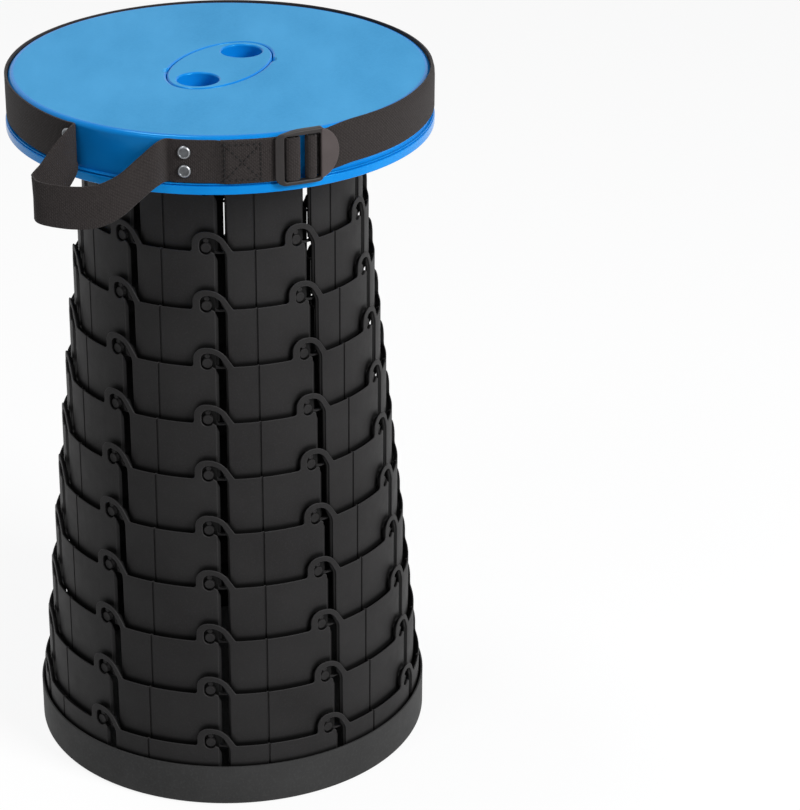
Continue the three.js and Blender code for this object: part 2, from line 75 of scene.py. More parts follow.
weld = 0.004 * MM
scene = bpy.context.scene

# %% [markdown]
# ## The camera
#
# The camera stands in front of the stool, a little to its right, and looks down on it by about
# 25 degrees. A long lens keeps the tower's sides nearly straight, as a shop photograph does. The
# place, the turn and the lens were worked out from the ellipses of the seat and the base. The
# camera matrix is built from three plain steps: put it in place, tip it down, level it.

# %% Place the camera
camera_place = Vector((106.52, -1547.17, 951.88)) * MM
camera_tip = math.radians(90 - 25.5314)
camera_level = math.radians(0.4513)
focal_length, frame_width = 2777.48, 800  # both in pixels of the photograph

camera_data = bpy.data.cameras.new("Studio camera")
camera_data.sensor_fit = "HORIZONTAL"
camera_data.sensor_width = 36
camera_data.lens = camera_data.sensor_width * focal_length / frame_width
camera_data.clip_end = 60
camera = bpy.data.objects.new("Studio camera", camera_data)
camera.matrix_world = (
    Matrix.Translation(camera_place)
    @ Matrix.Rotation(camera_tip, 4, "X")
    @ Matrix.Rotation(camera_level, 4, "Z")
)
scene.collection.objects.link(camera)
scene.camera = camera
scene.view_settings.view_transform = "Standard"
print("lens", round(camera_data.lens, 2), "mm")

# %% [markdown]
# ## The studio
#
# Black plastic is hard to light: it shows mostly what it reflects. The background should look
# white, but a white world that also lights the stool would wash the black out. Light Path solves
# this. Rays that come from the camera, and mirror rays, meet a pale background, while the light
# that falls on the stool is set on its own. A big soft lamp from the front right does the
# modelling, as the photograph's brighter right side shows, and the rest is gentle fill.
#
# World, floor and finishes are all made of nodes, so the first helpers add a node, link or fill
# its inputs, and do a step of arithmetic.


# %% Helpers: nodes
def feed(tree, node, inputs):
    """Links or fills the inputs of a node"""
    for place, value in inputs.items():
        if isinstance(value, bpy.types.NodeSocket):
            tree.links.new(value, node.inputs[place])
        else:
            node.inputs[place].default_value = value


def add(tree, kind, inputs=None, **settings):
    """A node with its settings and its inputs. It gives back the node's outputs."""
    made = tree.nodes.new(kind)
    for key, value in settings.items():
        setattr(made, key, value)
    feed(tree, made, inputs or {})
    return made.outputs


def sum_up(tree, operation, *values):
    """One step of arithmetic"""
    return add(tree, "ShaderNodeMath", dict(enumerate(values)), operation=operation)[0]


def combined(tree, **parts):
    """A vector from its X, Y and Z"""
    return add(tree, "ShaderNodeCombineXYZ", parts)[0]


def seen_by(tree, *kinds):
    """1 for rays of the named kinds, and 0 for all others"""
    path = add(tree, "ShaderNodeLightPath")
    share = path[f"Is {kinds[0]} Ray"]
    for kind in kinds[1:]:
        share = sum_up(tree, "MAXIMUM", share, path[f"Is {kind} Ray"])
    return share


# %% World light
world = bpy.data.worlds.new("Studio")
scene.world = world
world.use_nodes = True
tree = world.node_tree
tree.nodes.clear()
world_fill = 0.22
fill = add(tree, "ShaderNodeBackground", {"Color": (0.93, 0.96, 1, 1), "Strength": world_fill})[0]
pale = add(tree, "ShaderNodeBackground", {"Strength": 1})[0]
seen = seen_by(tree, "Camera", "Glossy", "Transmission")
either = add(tree, "ShaderNodeMixShader", {"Fac": seen, 1: fill, 2: pale})[0]
add(tree, "ShaderNodeOutputWorld", {"Surface": either})
print("world fill", world_fill)


# %% Lamps
def soft_lamp(name, place, aim, size, power):
    """A square area lamp that looks at a point"""
    data = bpy.data.lights.new(name, "AREA")
    data.shape = "SQUARE"
    data.size = size
    data.energy = power
    lamp = bpy.data.objects.new(name, data)
    lamp.location = place
    lamp.rotation_euler = (Vector(aim) - Vector(place)).to_track_quat("-Z", "Y").to_euler()
    scene.collection.objects.link(lamp)


middle = (0, 0, 0.26)
soft_lamp("Key lamp", (1.65, -1.2, 1.5), middle, size=0.9, power=53)
soft_lamp("Top lamp", (-0.5, 0.3, 2.2), middle, size=0.5, power=11)
soft_lamp("Edge lamp", (-1.03, -1.23, 2.2), middle, size=0.7, power=7)
print("lamps:", [light.name for light in bpy.data.lights])

# %% [markdown]
# ## The floor
#
# The floor is one big pale sheet. Its material adds light of its own only for the camera and for
# mirror rays, so that it looks white and still keeps part of the stool's shadow. Every ray that
# lights the stool meets an ordinary pale floor.

# %% Lay the floor
floor_half, glow_share = 20, 0.85
corners = [(x * floor_half, y * floor_half, 0) for x, y in ((-1, -1), (1, -1), (1, 1), (-1, 1))]
floor_mesh = bpy.data.meshes.new("Floor")
floor_mesh.from_pydata(corners, [], [(0, 1, 2, 3)])
floor = bpy.data.objects.new("Floor", floor_mesh)
floor.location.z = -0.0002
scene.collection.objects.link(floor)
floor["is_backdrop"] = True

paint = bpy.data.materials.new("Pale floor")
paint.use_nodes = True
tree = paint.node_tree
tree.nodes.clear()
matt = add(tree, "ShaderNodeBsdfDiffuse", {"Color": (0.88, 0.88, 0.88, 1)})[0]
glow = add(tree, "ShaderNodeEmission", {"Strength": 1.03})[0]
share = sum_up(tree, "MULTIPLY", seen_by(tree, "Camera", "Glossy"), glow_share)
both = add(tree, "ShaderNodeMixShader", {"Fac": share, 1: matt, 2: glow})[0]
add(tree, "ShaderNodeOutputMaterial", {"Surface": both})
floor_mesh.materials.append(paint)
print("floor laid,", 2 * floor_half, "m across")

# %% [markdown]
# ## Helpers for meshes
#
# Most pieces here are made from loops of points that are skinned one to the next, as a boat's
# hull is planked over its frames. That suits everything that is turned or oval. A finishing step
# merges doubled points, points the faces outwards, and marks the sharp edges.


# %% Helpers: loops of points
def around(angle, radius, height):
    """A point by its angle from the front towards the right, its radius and its height"""
    return (radius * math.sin(angle), -radius * math.cos(angle), height)


def circle(radius, height, count=256):
    """A level loop of points round the upright axis"""
    return [around(2 * math.pi * i / count, radius, height) for i in range(count)]


def arc_profile(centre_r, centre_z, radius, start, end, steps):
    """Points of a round in a turned profile, as (radius, height)"""
    turns = [math.radians(start + (end - start) * i / steps) for i in range(steps + 1)]
    return [(centre_r + radius * math.cos(t), centre_z + radius * math.sin(t)) for t in turns]


# %% Helper: a skin over loops
def skin(loops, closed=False):
    """Faces between neighbouring loops. A loop of one point is a pole."""
    points, starts = [], []
    for loop in loops:
        starts.append(len(points))
        points.extend(loop)
    faces = []
    pairs = list(zip(range(len(loops) - 1), range(1, len(loops))))
    if closed:
        pairs.append((len(loops) - 1, 0))
    for low, high in pairs:
        below, above = len(loops[low]), len(loops[high])
        for i in range(max(below, above)):
            a = starts[low] + i % below
            b = starts[low] + (i + 1) % below
            c = starts[high] + (i + 1) % above
            d = starts[high] + i % above
            faces.append(list(dict.fromkeys((a, b, c, d))))
    return points, faces


# %% Helpers: make a piece, finish it and let a body carry it
def new_piece(name, points, faces, values=None):
    """A piece from points in millimetres. Values are named numbers, one for each point."""
    mesh = bpy.data.meshes.new(name)
    mesh.from_pydata([tuple(c * MM for c in point) for point in points], [], faces)
    for label, numbers in (values or {}).items():
        mesh.attributes.new(label, "FLOAT", "POINT").data.foreach_set("value", numbers)
    piece = bpy.data.objects.new(name, mesh)
    scene.collection.objects.link(piece)
    return piece


def finish(piece, material, sharp=38):
    """Merges doubles, turns the faces outwards, smooths the piece and gives it its finish"""
    mesh = piece.data
    work = bmesh.new()
    work.from_mesh(mesh)
    bmesh.ops.remove_doubles(work, verts=work.verts, dist=weld)
    loose = [vert for vert in work.verts if not vert.link_faces]
    bmesh.ops.delete(work, geom=loose, context="VERTS")
    bmesh.ops.recalc_face_normals(work, faces=work.faces)
    work.to_mesh(mesh)
    work.free()
    mesh.shade_smooth()
    mesh.set_sharp_from_angle(angle=math.radians(sharp))
    mesh.materials.clear()
    mesh.materials.append(material)
    even = piece.modifiers.new("Even shading", "WEIGHTED_NORMAL")
    even.keep_sharp = True
    print(piece.name, "has", len(mesh.polygons), "faces")
    return piece


def carry(piece, body, slot, *replaced):
    """The piece rides on a body and stands for the plain solids, which it hides. The slot is not
    used.
    """
    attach(piece, body)
    if replaced:
        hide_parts(*replaced)


# %% [markdown]
# ## Helpers for Geometry Nodes
#
# A node tree is a recipe. Where a shape repeats round the axis or along a line, the recipe is
# written once and its sizes are named inputs, so that eleven rings come from one tree. The short
# functions here each add the one or two nodes that several trees need. After a tree has run, its
# result is kept as a plain mesh.


# %% Helpers: start, close and run a tree
def new_tree(name, sockets):
    """A tree with a geometry input, other inputs by name and kind, and one geometry output"""
    tree = bpy.data.node_groups.new(name, "GeometryNodeTree")
    for label, kind in {"Geometry": "Geometry", **sockets}.items():
        tree.interface.new_socket(label, in_out="INPUT", socket_type="NodeSocket" + kind)
    tree.interface.new_socket("Geometry", in_out="OUTPUT", socket_type="NodeSocketGeometry")
    return tree, tree.nodes.new("NodeGroupInput").outputs


def close_tree(tree, geometry, material):
    """Ends a tree in real geometry with its material"""
    real = add(tree, "GeometryNodeRealizeInstances", {"Geometry": geometry})[0]
    welded = add(tree, "GeometryNodeMergeByDistance", {"Geometry": real, "Distance": weld})[0]
    painted = add(tree, "GeometryNodeSetMaterial", {"Geometry": welded, "Material": material})[0]
    add(tree, "NodeGroupOutput", {0: painted})


def grow(name, tree, mesh, values):
    """Runs a tree on a mesh and keeps the result as a plain mesh of a new piece"""
    piece = bpy.data.objects.new(name, mesh)
    step = piece.modifiers.new("Grow", "NODES")
    step.node_group = tree
    for socket in tree.interface.items_tree:
        if socket.in_out == "INPUT" and socket.name in values:
            step[socket.identifier] = values[socket.name]
    scene.collection.objects.link(piece)
    graph = bpy.context.evaluated_depsgraph_get()
    grown = bpy.data.meshes.new_from_object(
        piece.evaluated_get(graph), preserve_all_data_layers=True, depsgraph=graph
    )
    piece.modifiers.clear()
    piece.data = grown
    return piece


# %% Helpers: places, shapes and copies in a tree
def spot_of(tree):
    """The X, Y and Z of each point"""
    return add(tree, "ShaderNodeSeparateXYZ", {0: add(tree, "GeometryNodeInputPosition")[0]})


def shape_of(tree, piece_socket):
    """The shape of a pattern piece"""
    return add(tree, "GeometryNodeObjectInfo", {"Object": piece_socket})["Geometry"]


def moved(tree, shape, **how):
    """A shape with a Translation, a Rotation or a Scale"""
    return add(tree, "GeometryNodeTransform", {"Geometry": shape, **how})[0]


def copied(tree, spots, shape, rotation):
    """Copies of a shape on points, each with its rotation"""
    inputs = {"Points": spots, "Instance": shape, "Rotation": rotation}
    return add(tree, "GeometryNodeInstanceOnPoints", inputs)[0]


def copied_round(tree, shape, count, first_angle):
    """Copies of a shape at equal angles round the upright axis"""
    step = sum_up(tree, "DIVIDE", 2 * math.pi, count)
    turn = sum_up(tree, "MULTIPLY", add(tree, "GeometryNodeInputIndex")[0], step)
    turn = sum_up(tree, "ADD", turn, first_angle)
    spots = add(tree, "GeometryNodePoints", {"Count": count})[0]
    return copied(tree, spots, shape, combined(tree, Z=turn))


# %% [markdown]
# ## Helpers for finishes
#
# Every finish is procedural. It reads the piece's own coordinates in metres, so a grain of half a
# millimetre is half a millimetre everywhere. Colour, roughness and bump each get a little noise,
# because no moulded or woven surface is perfectly even.


# %% Helpers: finishes
def new_finish(name, specular, metal=0.0):
    """A material, its nodes and its shader"""
    made = bpy.data.materials.new(name)
    made.use_nodes = True
    shader = made.node_tree.nodes["Principled BSDF"]
    feed(made.node_tree, shader, {"Specular IOR Level": specular, "Metallic": metal})
    return made, made.node_tree, shader


def value_on(tree, label):
    """The value of that name on the piece's points"""
    return add(tree, "ShaderNodeAttribute", attribute_name=label)["Fac"]


def noise(tree, scale, detail, stretch=(1, 1, 1)):
    """Noise on the piece's own coordinates, stretched where the surface is streaky"""
    where = add(tree, "ShaderNodeTexCoord")["Object"]
    mapped = add(tree, "ShaderNodeMapping", {"Vector": where, "Scale": stretch})[0]
    return add(tree, "ShaderNodeTexNoise", {"Vector": mapped, "Scale": scale, "Detail": detail})[0]


def graded(tree, value, low, high, start=0.0, end=1.0):
    """Turns a value into a range of numbers"""
    inputs = {0: value, 1: start, 2: end, 3: low, 4: high}
    return add(tree, "ShaderNodeMapRange", inputs, clamp=True)[0]


def patches(tree, scale, detail, reach, stretch=(1, 1, 1)):
    """Soft patches between 0 and 1: the middle of the noise, its reach up and down, spread out"""
    return graded(tree, noise(tree, scale, detail, stretch), 0, 1, 0.5 - reach, 0.5 + reach)


def tinted(tree, share, *colours):
    """A colour between two colours"""
    ends = [c if isinstance(c, bpy.types.NodeSocket) else (*c, 1) for c in colours]
    return add(tree, "ShaderNodeMix", {0: share, 6: ends[0], 7: ends[1]}, data_type="RGBA")[2]


def bumped(tree, height, strength, distance):
    """Turns a height into a bump for the shader's normal"""
    inputs = {"Height": height, "Strength": strength, "Distance": distance}
    return add(tree, "ShaderNodeBump", inputs)[0]


def cover(tree, shader, colour, roughness, bump):
    """Gives a shader its colour, its roughness and its bump"""
    feed(tree, shader, {"Base Color": colour, "Roughness": roughness, "Normal": bump})


# %% [markdown]
# ## Charcoal plastic
#
# The rings are moulded in a black plastic with a fine spark-eroded grain. It is nearly matt. Its
# edges are painted a shade lighter, partly as worn edges where the grain is rubbed smooth and
# partly as a painted highlight. Every point of a ring carries a value for this: 1 on a lighter
# edge, and below 0 on the steps behind the edges, beside the slots and close above the ring below,
# where painted shade and shadow turn the colour near black. The finish reads it. The base pan has
# the same plastic, a shade lighter.


# %% Make the charcoal plastics
# near black for the painted shade and shadow on the rings
painted_shade_black = (0.0015, 0.0015, 0.0015)


def charcoal(name, dark, light, edge, grain, specular, rough):
    """A grained black plastic between two greys, its edges painted lighter as worn and highlighted,
    and near black where shade is painted
    """
    made, tree, shader = new_finish(name, specular)
    speck = graded(tree, noise(tree, grain * 0.7, 1), 0, 0.22, 0.5, 0.72)
    body = tinted(tree, speck, tinted(tree, patches(tree, 21, 5, 0.2), dark, light), edge)
    wear = value_on(tree, "wear")
    # lighter edges: partly worn, partly a painted highlight
    colour = tinted(tree, graded(tree, wear, 0, 0.75), body, edge)
    # painted shade and shadow: near black where the value is below 0
    colour = tinted(tree, graded(tree, wear, 0, 0.95, 0, -1), colour, painted_shade_black)
    roughness = graded(tree, noise(tree, 160, 2), rough - 0.06, rough + 0.08)
    cover(tree, shader, colour, roughness, bumped(tree, noise(tree, grain, 2), 0.35, 0.00012))
    return made


ring_plastic = charcoal(
    "Charcoal ring plastic", (0.0125, 0.0118, 0.012), (0.0185, 0.0178, 0.018),
    (0.032, 0.031, 0.0315), grain=1500, specular=0.14, rough=0.56,
)
base_plastic = charcoal(
    "Charcoal base plastic", (0.022, 0.022, 0.022), (0.032, 0.032, 0.032),
    (0.058, 0.058, 0.058), grain=900, specular=0.22, rough=0.66,
)
print("plastics:", ring_plastic.name, "and", base_plastic.name)

# %% [markdown]
# ## Blue seat plastic
#
# The seat is moulded in one blue, but its flat top has a matt, slightly mottled texture against
# slipping, and is painted paler there, partly for the texture and partly as a painted sheen of the
# light from above. The rounded rim and the wall are smooth and deeper in colour. A value named
# matt, set on the points of the top, switches between the two.

# %% Make the blue plastic
seat_plastic, tree, shader = new_finish("Blue seat plastic", 0.35)
# the matt value marks the top: its matt texture, and a paler colour painted there as sheen
matt_and_sheen_top = value_on(tree, "matt")
streaks = patches(tree, 34, 6, 0.18, (1, 0.35, 1))
grains = sum_up(tree, "MULTIPLY", patches(tree, 700, 2, 0.15), 0.25)
top_blue = tinted(tree, streaks, (0.044, 0.27, 0.54), (0.064, 0.325, 0.625))
top_blue = tinted(tree, grains, top_blue, (0.08, 0.35, 0.645))
side_blue = tinted(tree, streaks, (0.002, 0.195, 0.60), (0.004, 0.23, 0.66))
relief = sum_up(tree, "MULTIPLY", noise(tree, 700, 2), graded(tree, matt_and_sheen_top, 0.04, 1))
cover(
    tree, shader, tinted(tree, matt_and_sheen_top, side_blue, top_blue),
    sum_up(tree, "MULTIPLY_ADD", matt_and_sheen_top, 0.45, 0.2), bumped(tree, relief, 0.3, 0.00015),
)
shader.inputs["Specular Tint"].default_value = (0.15, 0.8, 1, 1)
print("plastic:", seat_plastic.name)

# %% [markdown]
# ## The slotted ring, first flat
#
# One ring is ten equal panels. A panel is easiest to draw flat: the distance along the ring goes
# across, the height goes up. It has a lip at the top, a pin arch that rises over the lip, an
# opening in the arch that holds the pin of the next ring, and a slot from the opening down to the
# foot. The outline gets its round corners from a small fillet routine.
#
# A Boolean cut would also make these holes, but it leaves long thin faces that shade badly once
# the panel is bent. So the panel is triangulated from its outline, with an upright line of points
# every few millimetres, on which it can bend cleanly.


# %% Helpers: round the corners of an outline
def unit(step):
    """A step of length 1"""
    return step / np.linalg.norm(step)


def rounded(corners):
    """Rounds the inner corners of an open line. A corner is (across, up, radius)."""
    made = [np.array(corners[0][:2], float)]
    for before, here, after in zip(corners, corners[1:], corners[2:]):
        at = np.array(here[:2], float)
        if here[2] == 0:
            made.append(at)
            continue
        back, ahead = unit(np.array(before[:2]) - at), unit(np.array(after[:2]) - at)
        half = math.acos(float(np.clip(back @ ahead, -1, 1))) / 2
        centre = at + unit(back + ahead) * here[2] / math.sin(half)
        start = at + back * here[2] / math.tan(half) - centre
        sweep = math.pi - 2 * half
        sense = 1 if back[0] * ahead[1] - back[1] * ahead[0] < 0 else -1
        steps = max(2, math.ceil(sweep / math.radians(14)))
        for i in range(steps + 1):
            turn = sense * sweep * i / steps
            c, s = math.cos(turn), math.sin(turn)
            made.append(centre + (start[0] * c - start[1] * s, start[0] * s + start[1] * c))
    made.append(np.array(corners[-1][:2], float))
    return made


# %% Helpers: move an outline inwards, and find what is inside
def way_in(before, here, after, seam):
    """At a corner, the way into the material on the left of the outline"""
    sides = []
    for start, end in ((before, here), (here, after)):
        if not seam(start, end):
            step = unit(end - start)
            sides.append(np.array((-step[1], step[0])))
    way = unit(np.sum(sides, axis=0))
    return way / max(way @ sides[0], 0.4)


def inset(loop, distance, seam):
    """A closed outline moved into its material"""
    turned = loop[1:] + loop[:1]
    return [
        here + way_in(loop[i - 1], here, turned[i], seam) * distance
        for i, here in enumerate(loop)
    ]


def inside(point, loops):
    """Whether a point lies in the material, by counting the edges to its right"""
    hits = 0
    for loop in loops:
        for a, b in zip(loop, loop[1:] + loop[:1]):
            if (a[1] > point[1]) != (b[1] > point[1]):
                hits += point[0] < a[0] + (point[1] - a[1]) * (b[0] - a[0]) / (b[1] - a[1])
    return hits % 2 == 1


# %% Helper: an outline filled with triangles
def triangulated(loops, columns, lines=()):
    """Fills outlines with triangles, with an upright line of edges at each column, and with
    edges along any other lines"""
    points, edges = [], []
    for loop in loops:
        first = len(points)
        points.extend(loop)
        edges.extend((first + i, first + (i + 1) % len(loop)) for i in range(len(loop)))
    for across in columns:
        while any(abs(point[0] - across) < 1e-3 for point in points):
            across += 2e-3
        met, kept = [], []
        for a, b in edges:
            pa, pb = points[a], points[b]
            if (pa[0] - across) * (pb[0] - across) < 0:
                share = (across - pa[0]) / (pb[0] - pa[0])
                points.append(np.array((across, pa[1] + share * (pb[1] - pa[1]))))
                met.append(len(points) - 1)
                kept.extend([(a, met[-1]), (met[-1], b)])
            else:
                kept.append((a, b))
        met.sort(key=lambda i: points[i][1])
        edges = kept + list(zip(met[::2], met[1::2]))
    for line in lines:
        first = len(points)
        points.extend(line)
        edges.extend((first + i, first + i + 1) for i in range(len(line) - 1))
    found = delaunay_2d_cdt([Vector(p) for p in points], edges, [], 0, 1e-6)
    flat = [np.array(p) for p in found[0]]
    faces = [f for f in found[2] if inside(sum(flat[i] for i in f) / 3, loops)]
    return flat, faces


# %% Helper: a flat plate with rounded edges
def never(start, end):
    """No edge is a seam"""
    return False


def level_face(u, v):
    """A face with no relief"""
    return 0.0


def plate(
    loops, edge, rows, back, columns=(), seam=never, front=level_face, mark=level_face, lines=()
):
    """A plate with a worked edge, from closed outlines with the material on their left.
    rows(u, v, way) gives the edge's steps from the front to the back: (outwards, depth, the value
    for worn edges and painted light). front and back are the depths of its two faces, and mark is
    the painted shade of its front."""
    flat, faces = triangulated([inset(loop, edge, seam) for loop in loops], columns, lines)
    directed = {(f[i], f[(i + 1) % 3]) for f in faces for i in range(3)}
    after = {a: b for a, b in directed if (b, a) not in directed}
    before = {b: a for a, b in after.items()}
    outward = {}
    for here, there in after.items():
        if not (seam(flat[before[here]], flat[here]) and seam(flat[here], flat[there])):
            outward[here] = -way_in(flat[before[here]], flat[here], flat[there], seam)
    points = [(p[0], front(*p), p[1]) for p in flat]
    wear = [mark(*p) for p in flat]
    made = [list(face) for face in faces]
    ladders = {}
    for here, way in outward.items():
        u, v = flat[here]
        ladders[here] = [here]
        for out_by, depth, value in rows(u, v, way):
            ladders[here].append(len(points))
            points.append((u + way[0] * out_by, depth, v + way[1] * out_by))
            wear.append(value)
    twin = {}
    for i, (u, v) in enumerate(flat):
        if i in ladders:
            twin[i] = ladders[i][-1]
        else:
            twin[i] = len(points)
            points.append((u, back(u, v), v))
            wear.append(0.0)
    made.extend([twin[i] for i in reversed(face)] for face in faces)
    for a, b in after.items():
        if seam(flat[a], flat[b]):
            continue
        for low in range(len(ladders[a]) - 1):
            here, there = ladders[a][low : low + 2], ladders[b][low : low + 2]
            made.append([here[0], here[1], there[1], there[0]])
    return points, made, wear


# %% Sizes of the ring tower
slot_count = 10
ring_wall = 2.5
ring_height = 37.2
ring_overlap = 2.8
ring_step = 3.66
foot_ring_radius = 119.9
first_slot = math.radians(2.5)
groove_angle = math.radians(13)
groove_depth, groove_floor, groove_edge = 0.85, 0.42, 0.72
pin_across = -8.7
pin_up = 1.75
pin_radius = 3.05
turn_step = math.radians(0.18)


def ring_radius(level):
    """The outer radius of a ring, where level 0 is the foot ring and 11 the top ring"""
    return foot_ring_radius - ring_step * level


def ring_turn(level):
    """Each ring is turned a little against the one below it, within the play of its pins"""
    return first_slot + turn_step * (level - 8.4)


def ring_foot(level):
    """The height of a ring's foot, read from the frame"""
    name = ["foot_ring", *[f"sliding_ring_{i:02d}" for i in range(1, 11)], "top_ring"][level]
    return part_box(name)[0].z / MM


print("ring feet:", [round(ring_foot(level), 1) for level in range(12)])

# %% [markdown]
# ## The edge of a ring
#
# The wall of a ring is 2.5 mm thick and every visible edge has a small round. The lips are bevelled
# behind, so that only a thin edge shows, with a dark gap above it. The left side of each slot rolls
# inwards in a wide round, and its right side steps down to a narrow ledge. Thirteen degrees to the
# right of each slot a narrow moulded groove runs from lip to foot. Behind the pin pocket the wall
# is thinner, so that the pins of the ring above can run down inside when the stool is shut. The
# steps behind every edge are painted dark as shade. Where the ring below covers the wall, and close
# above that, a shadow is painted near black: the outline of the ring below is laid on the panel as
# a line of points, and the painted shadow fades above it.

# %% Sizes of a panel
edge_round = 0.45
lip_pitch = 34.4
channel = (-12.25, -3.4)
channel_depth = 1.21
slot_left, slot_right = -3.5, 3.5
pocket_radius = 3.55
side_reach = 0.5
fade_height = 2.4
column_step = 3.1
pan_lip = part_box("base_pan")[1].z / MM
# the round edge: turn in degrees, lightness (worn edge and painted highlight)
edge_turns = ((30, 1.0), (60, 0.7), (90, 0.0))
# steps behind the round edge: depth, right ledge, left roll, bevel behind the lip, painted shade
edge_steps = [(0.7, 0.05, 0.55, 0.1, -0.35), (1.1, 0.15, 1, 0.45, -0.6)]
edge_steps += [(1.35, 0.8, 1.35, 0.7, -0.75), (1.8, 1.1, 1.55, 1.2, -0.9)]
edge_steps += [(2.5, 1.2, 1.6, 1.9, -1)]
print("the edge of a ring has", len(edge_turns) + len(edge_steps), "steps")


# %% Helpers: the lines across a panel
def eased(value, start, end):
    """0 before the start and 1 after the end, with a smooth change between them"""
    share = min(max((value - start) / (end - start), 0.0), 1.0)
    return share * share * (3 - 2 * share)


def reach_to(point, line):
    """The distance from a flat point to a line of points"""
    starts, steps = np.array(line[:-1]), np.diff(np.array(line), axis=0)
    along = np.sum((point - starts) * steps, axis=1) / np.sum(steps * steps, axis=1)
    nearest = starts + steps * np.clip(along, 0, 1)[:, None]
    return float(np.min(np.linalg.norm(nearest - point, axis=1)))


def lip_line(half, lift=0.0):
    """The upper outline of a panel with its arch, or a line that runs a little above it"""
    if lift:
        arch = [(8.2, lift, 0.5), (0.1, 14.6, 15.4), (-19, 14.6, 9.6), (-19, lift, 0.5)]
    else:
        arch = [(6.9, 0, 1), (-1.2, 12.15, 13), (-16.6, 12.15, 7.2), (-16.6, 0, 1.8)]
    return rounded([(half, lift, 0), *arch, (-half, lift, 0)])


def foot_line(half, ledge_ends):
    """The lower outline of a panel, with its slot and the pocket of the pin"""
    pocket = [
        (pin_across + pocket_radius * math.cos(a), pin_up + pocket_radius * math.sin(a), 0)
        for a in np.radians(np.arange(-30, -181, -15))
    ]
    left_ledge = [(slot_left, v, 0) for v in ledge_ends]
    right_ledge = [(slot_right, v, 0) for v in reversed(ledge_ends)]
    return rounded(
        [(-half, -ring_height, 0), (slot_left, -ring_height, 0.8), *left_ledge]
        + [(slot_left, -5.5, 0), (slot_left, -1.2, 1.3), *pocket, (-12.25, 8.6, 4), (-2.2, 8.6, 9)]
        + [(slot_right, -1.6, 8), *right_ledge]
        + [(slot_right, -ring_height, 0.8), (half, -ring_height, 0)]
    )


def cover_lines(level, half):
    """The edge of what covers a panel, the ring below or the pan, and where its painted shadow has
    faded
    """
    reach = half + side_reach
    if level:
        shrink = ring_radius(level) / ring_radius(level - 1)
        lips = [lip_line(reach / shrink), lip_line(reach / shrink, fade_height)]
        return [[np.array((u * shrink, v - lip_pitch)) for u, v in lip] for lip in lips]
    low = pan_lip - ring_foot(0) - ring_height
    return [[np.array((side * reach, low + up)) for side in (1, -1)] for up in (0, fade_height)]


print("a lip line has", len(lip_line(30)), "points")


# %% Draw the eleven panels
def panel(level):
    """The points, faces and wear values of one flat panel of a ring"""
    half = math.pi * ring_radius(level) / slot_count
    groove = groove_angle * ring_radius(level)
    foot = -ring_height
    ledge_ends = (foot + 14, foot + 17) if level == 0 else (foot + 1.4, foot + 2.4)
    lines = cover_lines(level, half)
    covered = lines[0] + [np.array((side * (half + side_reach), foot - 1)) for side in (-1, 1)]

    def seam(start, end):
        return abs(start[0] - end[0]) < 1e-4 and abs(abs(start[0]) - half) < 1e-4

    def dent(u, v):
        return groove_depth * (1 - eased(abs(u - groove), groove_floor, groove_edge))

    # painted shadow: near black where the ring below covers the wall, fading above its outline
    def mark(u, v):
        if inside((u, v), [covered]):
            return -1.0
        return eased(reach_to((u, v), lines[0]), -0.4, fade_height) - 1

    def back(u, v):
        return channel_depth if channel[0] - 0.01 < u < channel[1] and v < 2 else ring_wall

    def rows(u, v, way):
        sunk, deep, dark = dent(u, v), back(u, v), mark(u, v)
        on_slot = eased(v, *ledge_ends)
        right_side = (u > -3 and way[0] < -0.3) * (1 - eased(v, 2.5, 7.5)) * on_slot
        left_side = (-5 < u < -3 and way[0] > 0.3) * eased(v, -2, -5) * on_slot
        bevel = 0 if -13 < u < 4 and v < 8 else max(0, way[1])
        made = []
        for turn, value in edge_turns:
            t = math.radians(turn)
            made.append(
                (edge_round * math.sin(t), edge_round * (1 - math.cos(t)) + sunk, value + dark)
            )
        # the steps behind the edge are painted darker as shade, the deeper the darker
        for n, (depth, ledge, roll, off_lip, value) in enumerate(edge_steps):
            out_by = edge_round + ledge * right_side + roll * left_side - off_lip * bevel
            depth = deep if n == 4 else min(depth + sunk, deep - 0.05 * (4 - n))
            made.append((out_by, depth, value))
        return made

    steps = round(2 * half / column_step)
    columns = [-half + 2 * half * (i + 0.5) / steps for i in range(steps)]
    fixed = [channel[0] - 0.06, channel[0]]
    columns = [u for u in columns if min(abs(u - other) for other in [groove, *fixed]) > 1.2]
    beside = (-groove_edge, -0.57, -groove_floor, groove_floor, 0.57, groove_edge)
    columns += fixed + [groove + side for side in beside]
    outline = [foot_line(half, ledge_ends) + lip_line(half)]
    return plate(outline, edge_round, rows, back, columns, seam, dent, mark, lines)


panels = [panel(level) for level in range(11)]
print("the lowest panel has", len(panels[0][0]), "points and", len(panels[0][1]), "faces")

# %% [markdown]
# ## The locking pin
#
# Ten round pins stand at the foot of every sliding ring and sit in the pockets of the ring below.
# A turn of the seat moves them over the shoulder of the pocket and locks the tower. Each pin has
# a small round nub above it. Both are turned shapes with a soft edge. A thin bridge also joins
# the two sides of each slot at the foot, and shows as a pale line at the top of the slot below.


# %% Helpers: a stud and its pin
def stud(profile, count, centre=0, height=0):
    """The loops of a round stud that points to the front, from (radius, depth) steps"""
    loops = []
    for r, y in profile:
        turns = [2 * math.pi * i / count for i in range(count if r > 0 else 1)]
        loops.append([(centre + r * math.cos(t), y, height + r * math.sin(t)) for t in turns])
    return loops


def turned_pin(radius, reach, centre, height, count):
    """A pin with a soft edge and a slightly sunk end, rooted in the wall"""
    profile = [(0, 0.8), (radius, 0.8), (radius, -reach + 0.5)]
    profile += [(radius - 0.15, -reach + 0.15), (radius - 0.5, -reach), (radius - 0.9, -reach)]
    profile += [(radius - 1.1, -reach + 0.12), (0, -reach + 0.12)]
    return skin(stud(profile, count, centre, height))


# %% Draw the pin and the bridge
def joined(*shapes):
    """Several lists of points and faces as one"""
    points, faces = [], []
    for some_points, some_faces in shapes:
        faces.extend([i + len(points) for i in face] for face in some_faces)
        points.extend(some_points)
    return points, faces


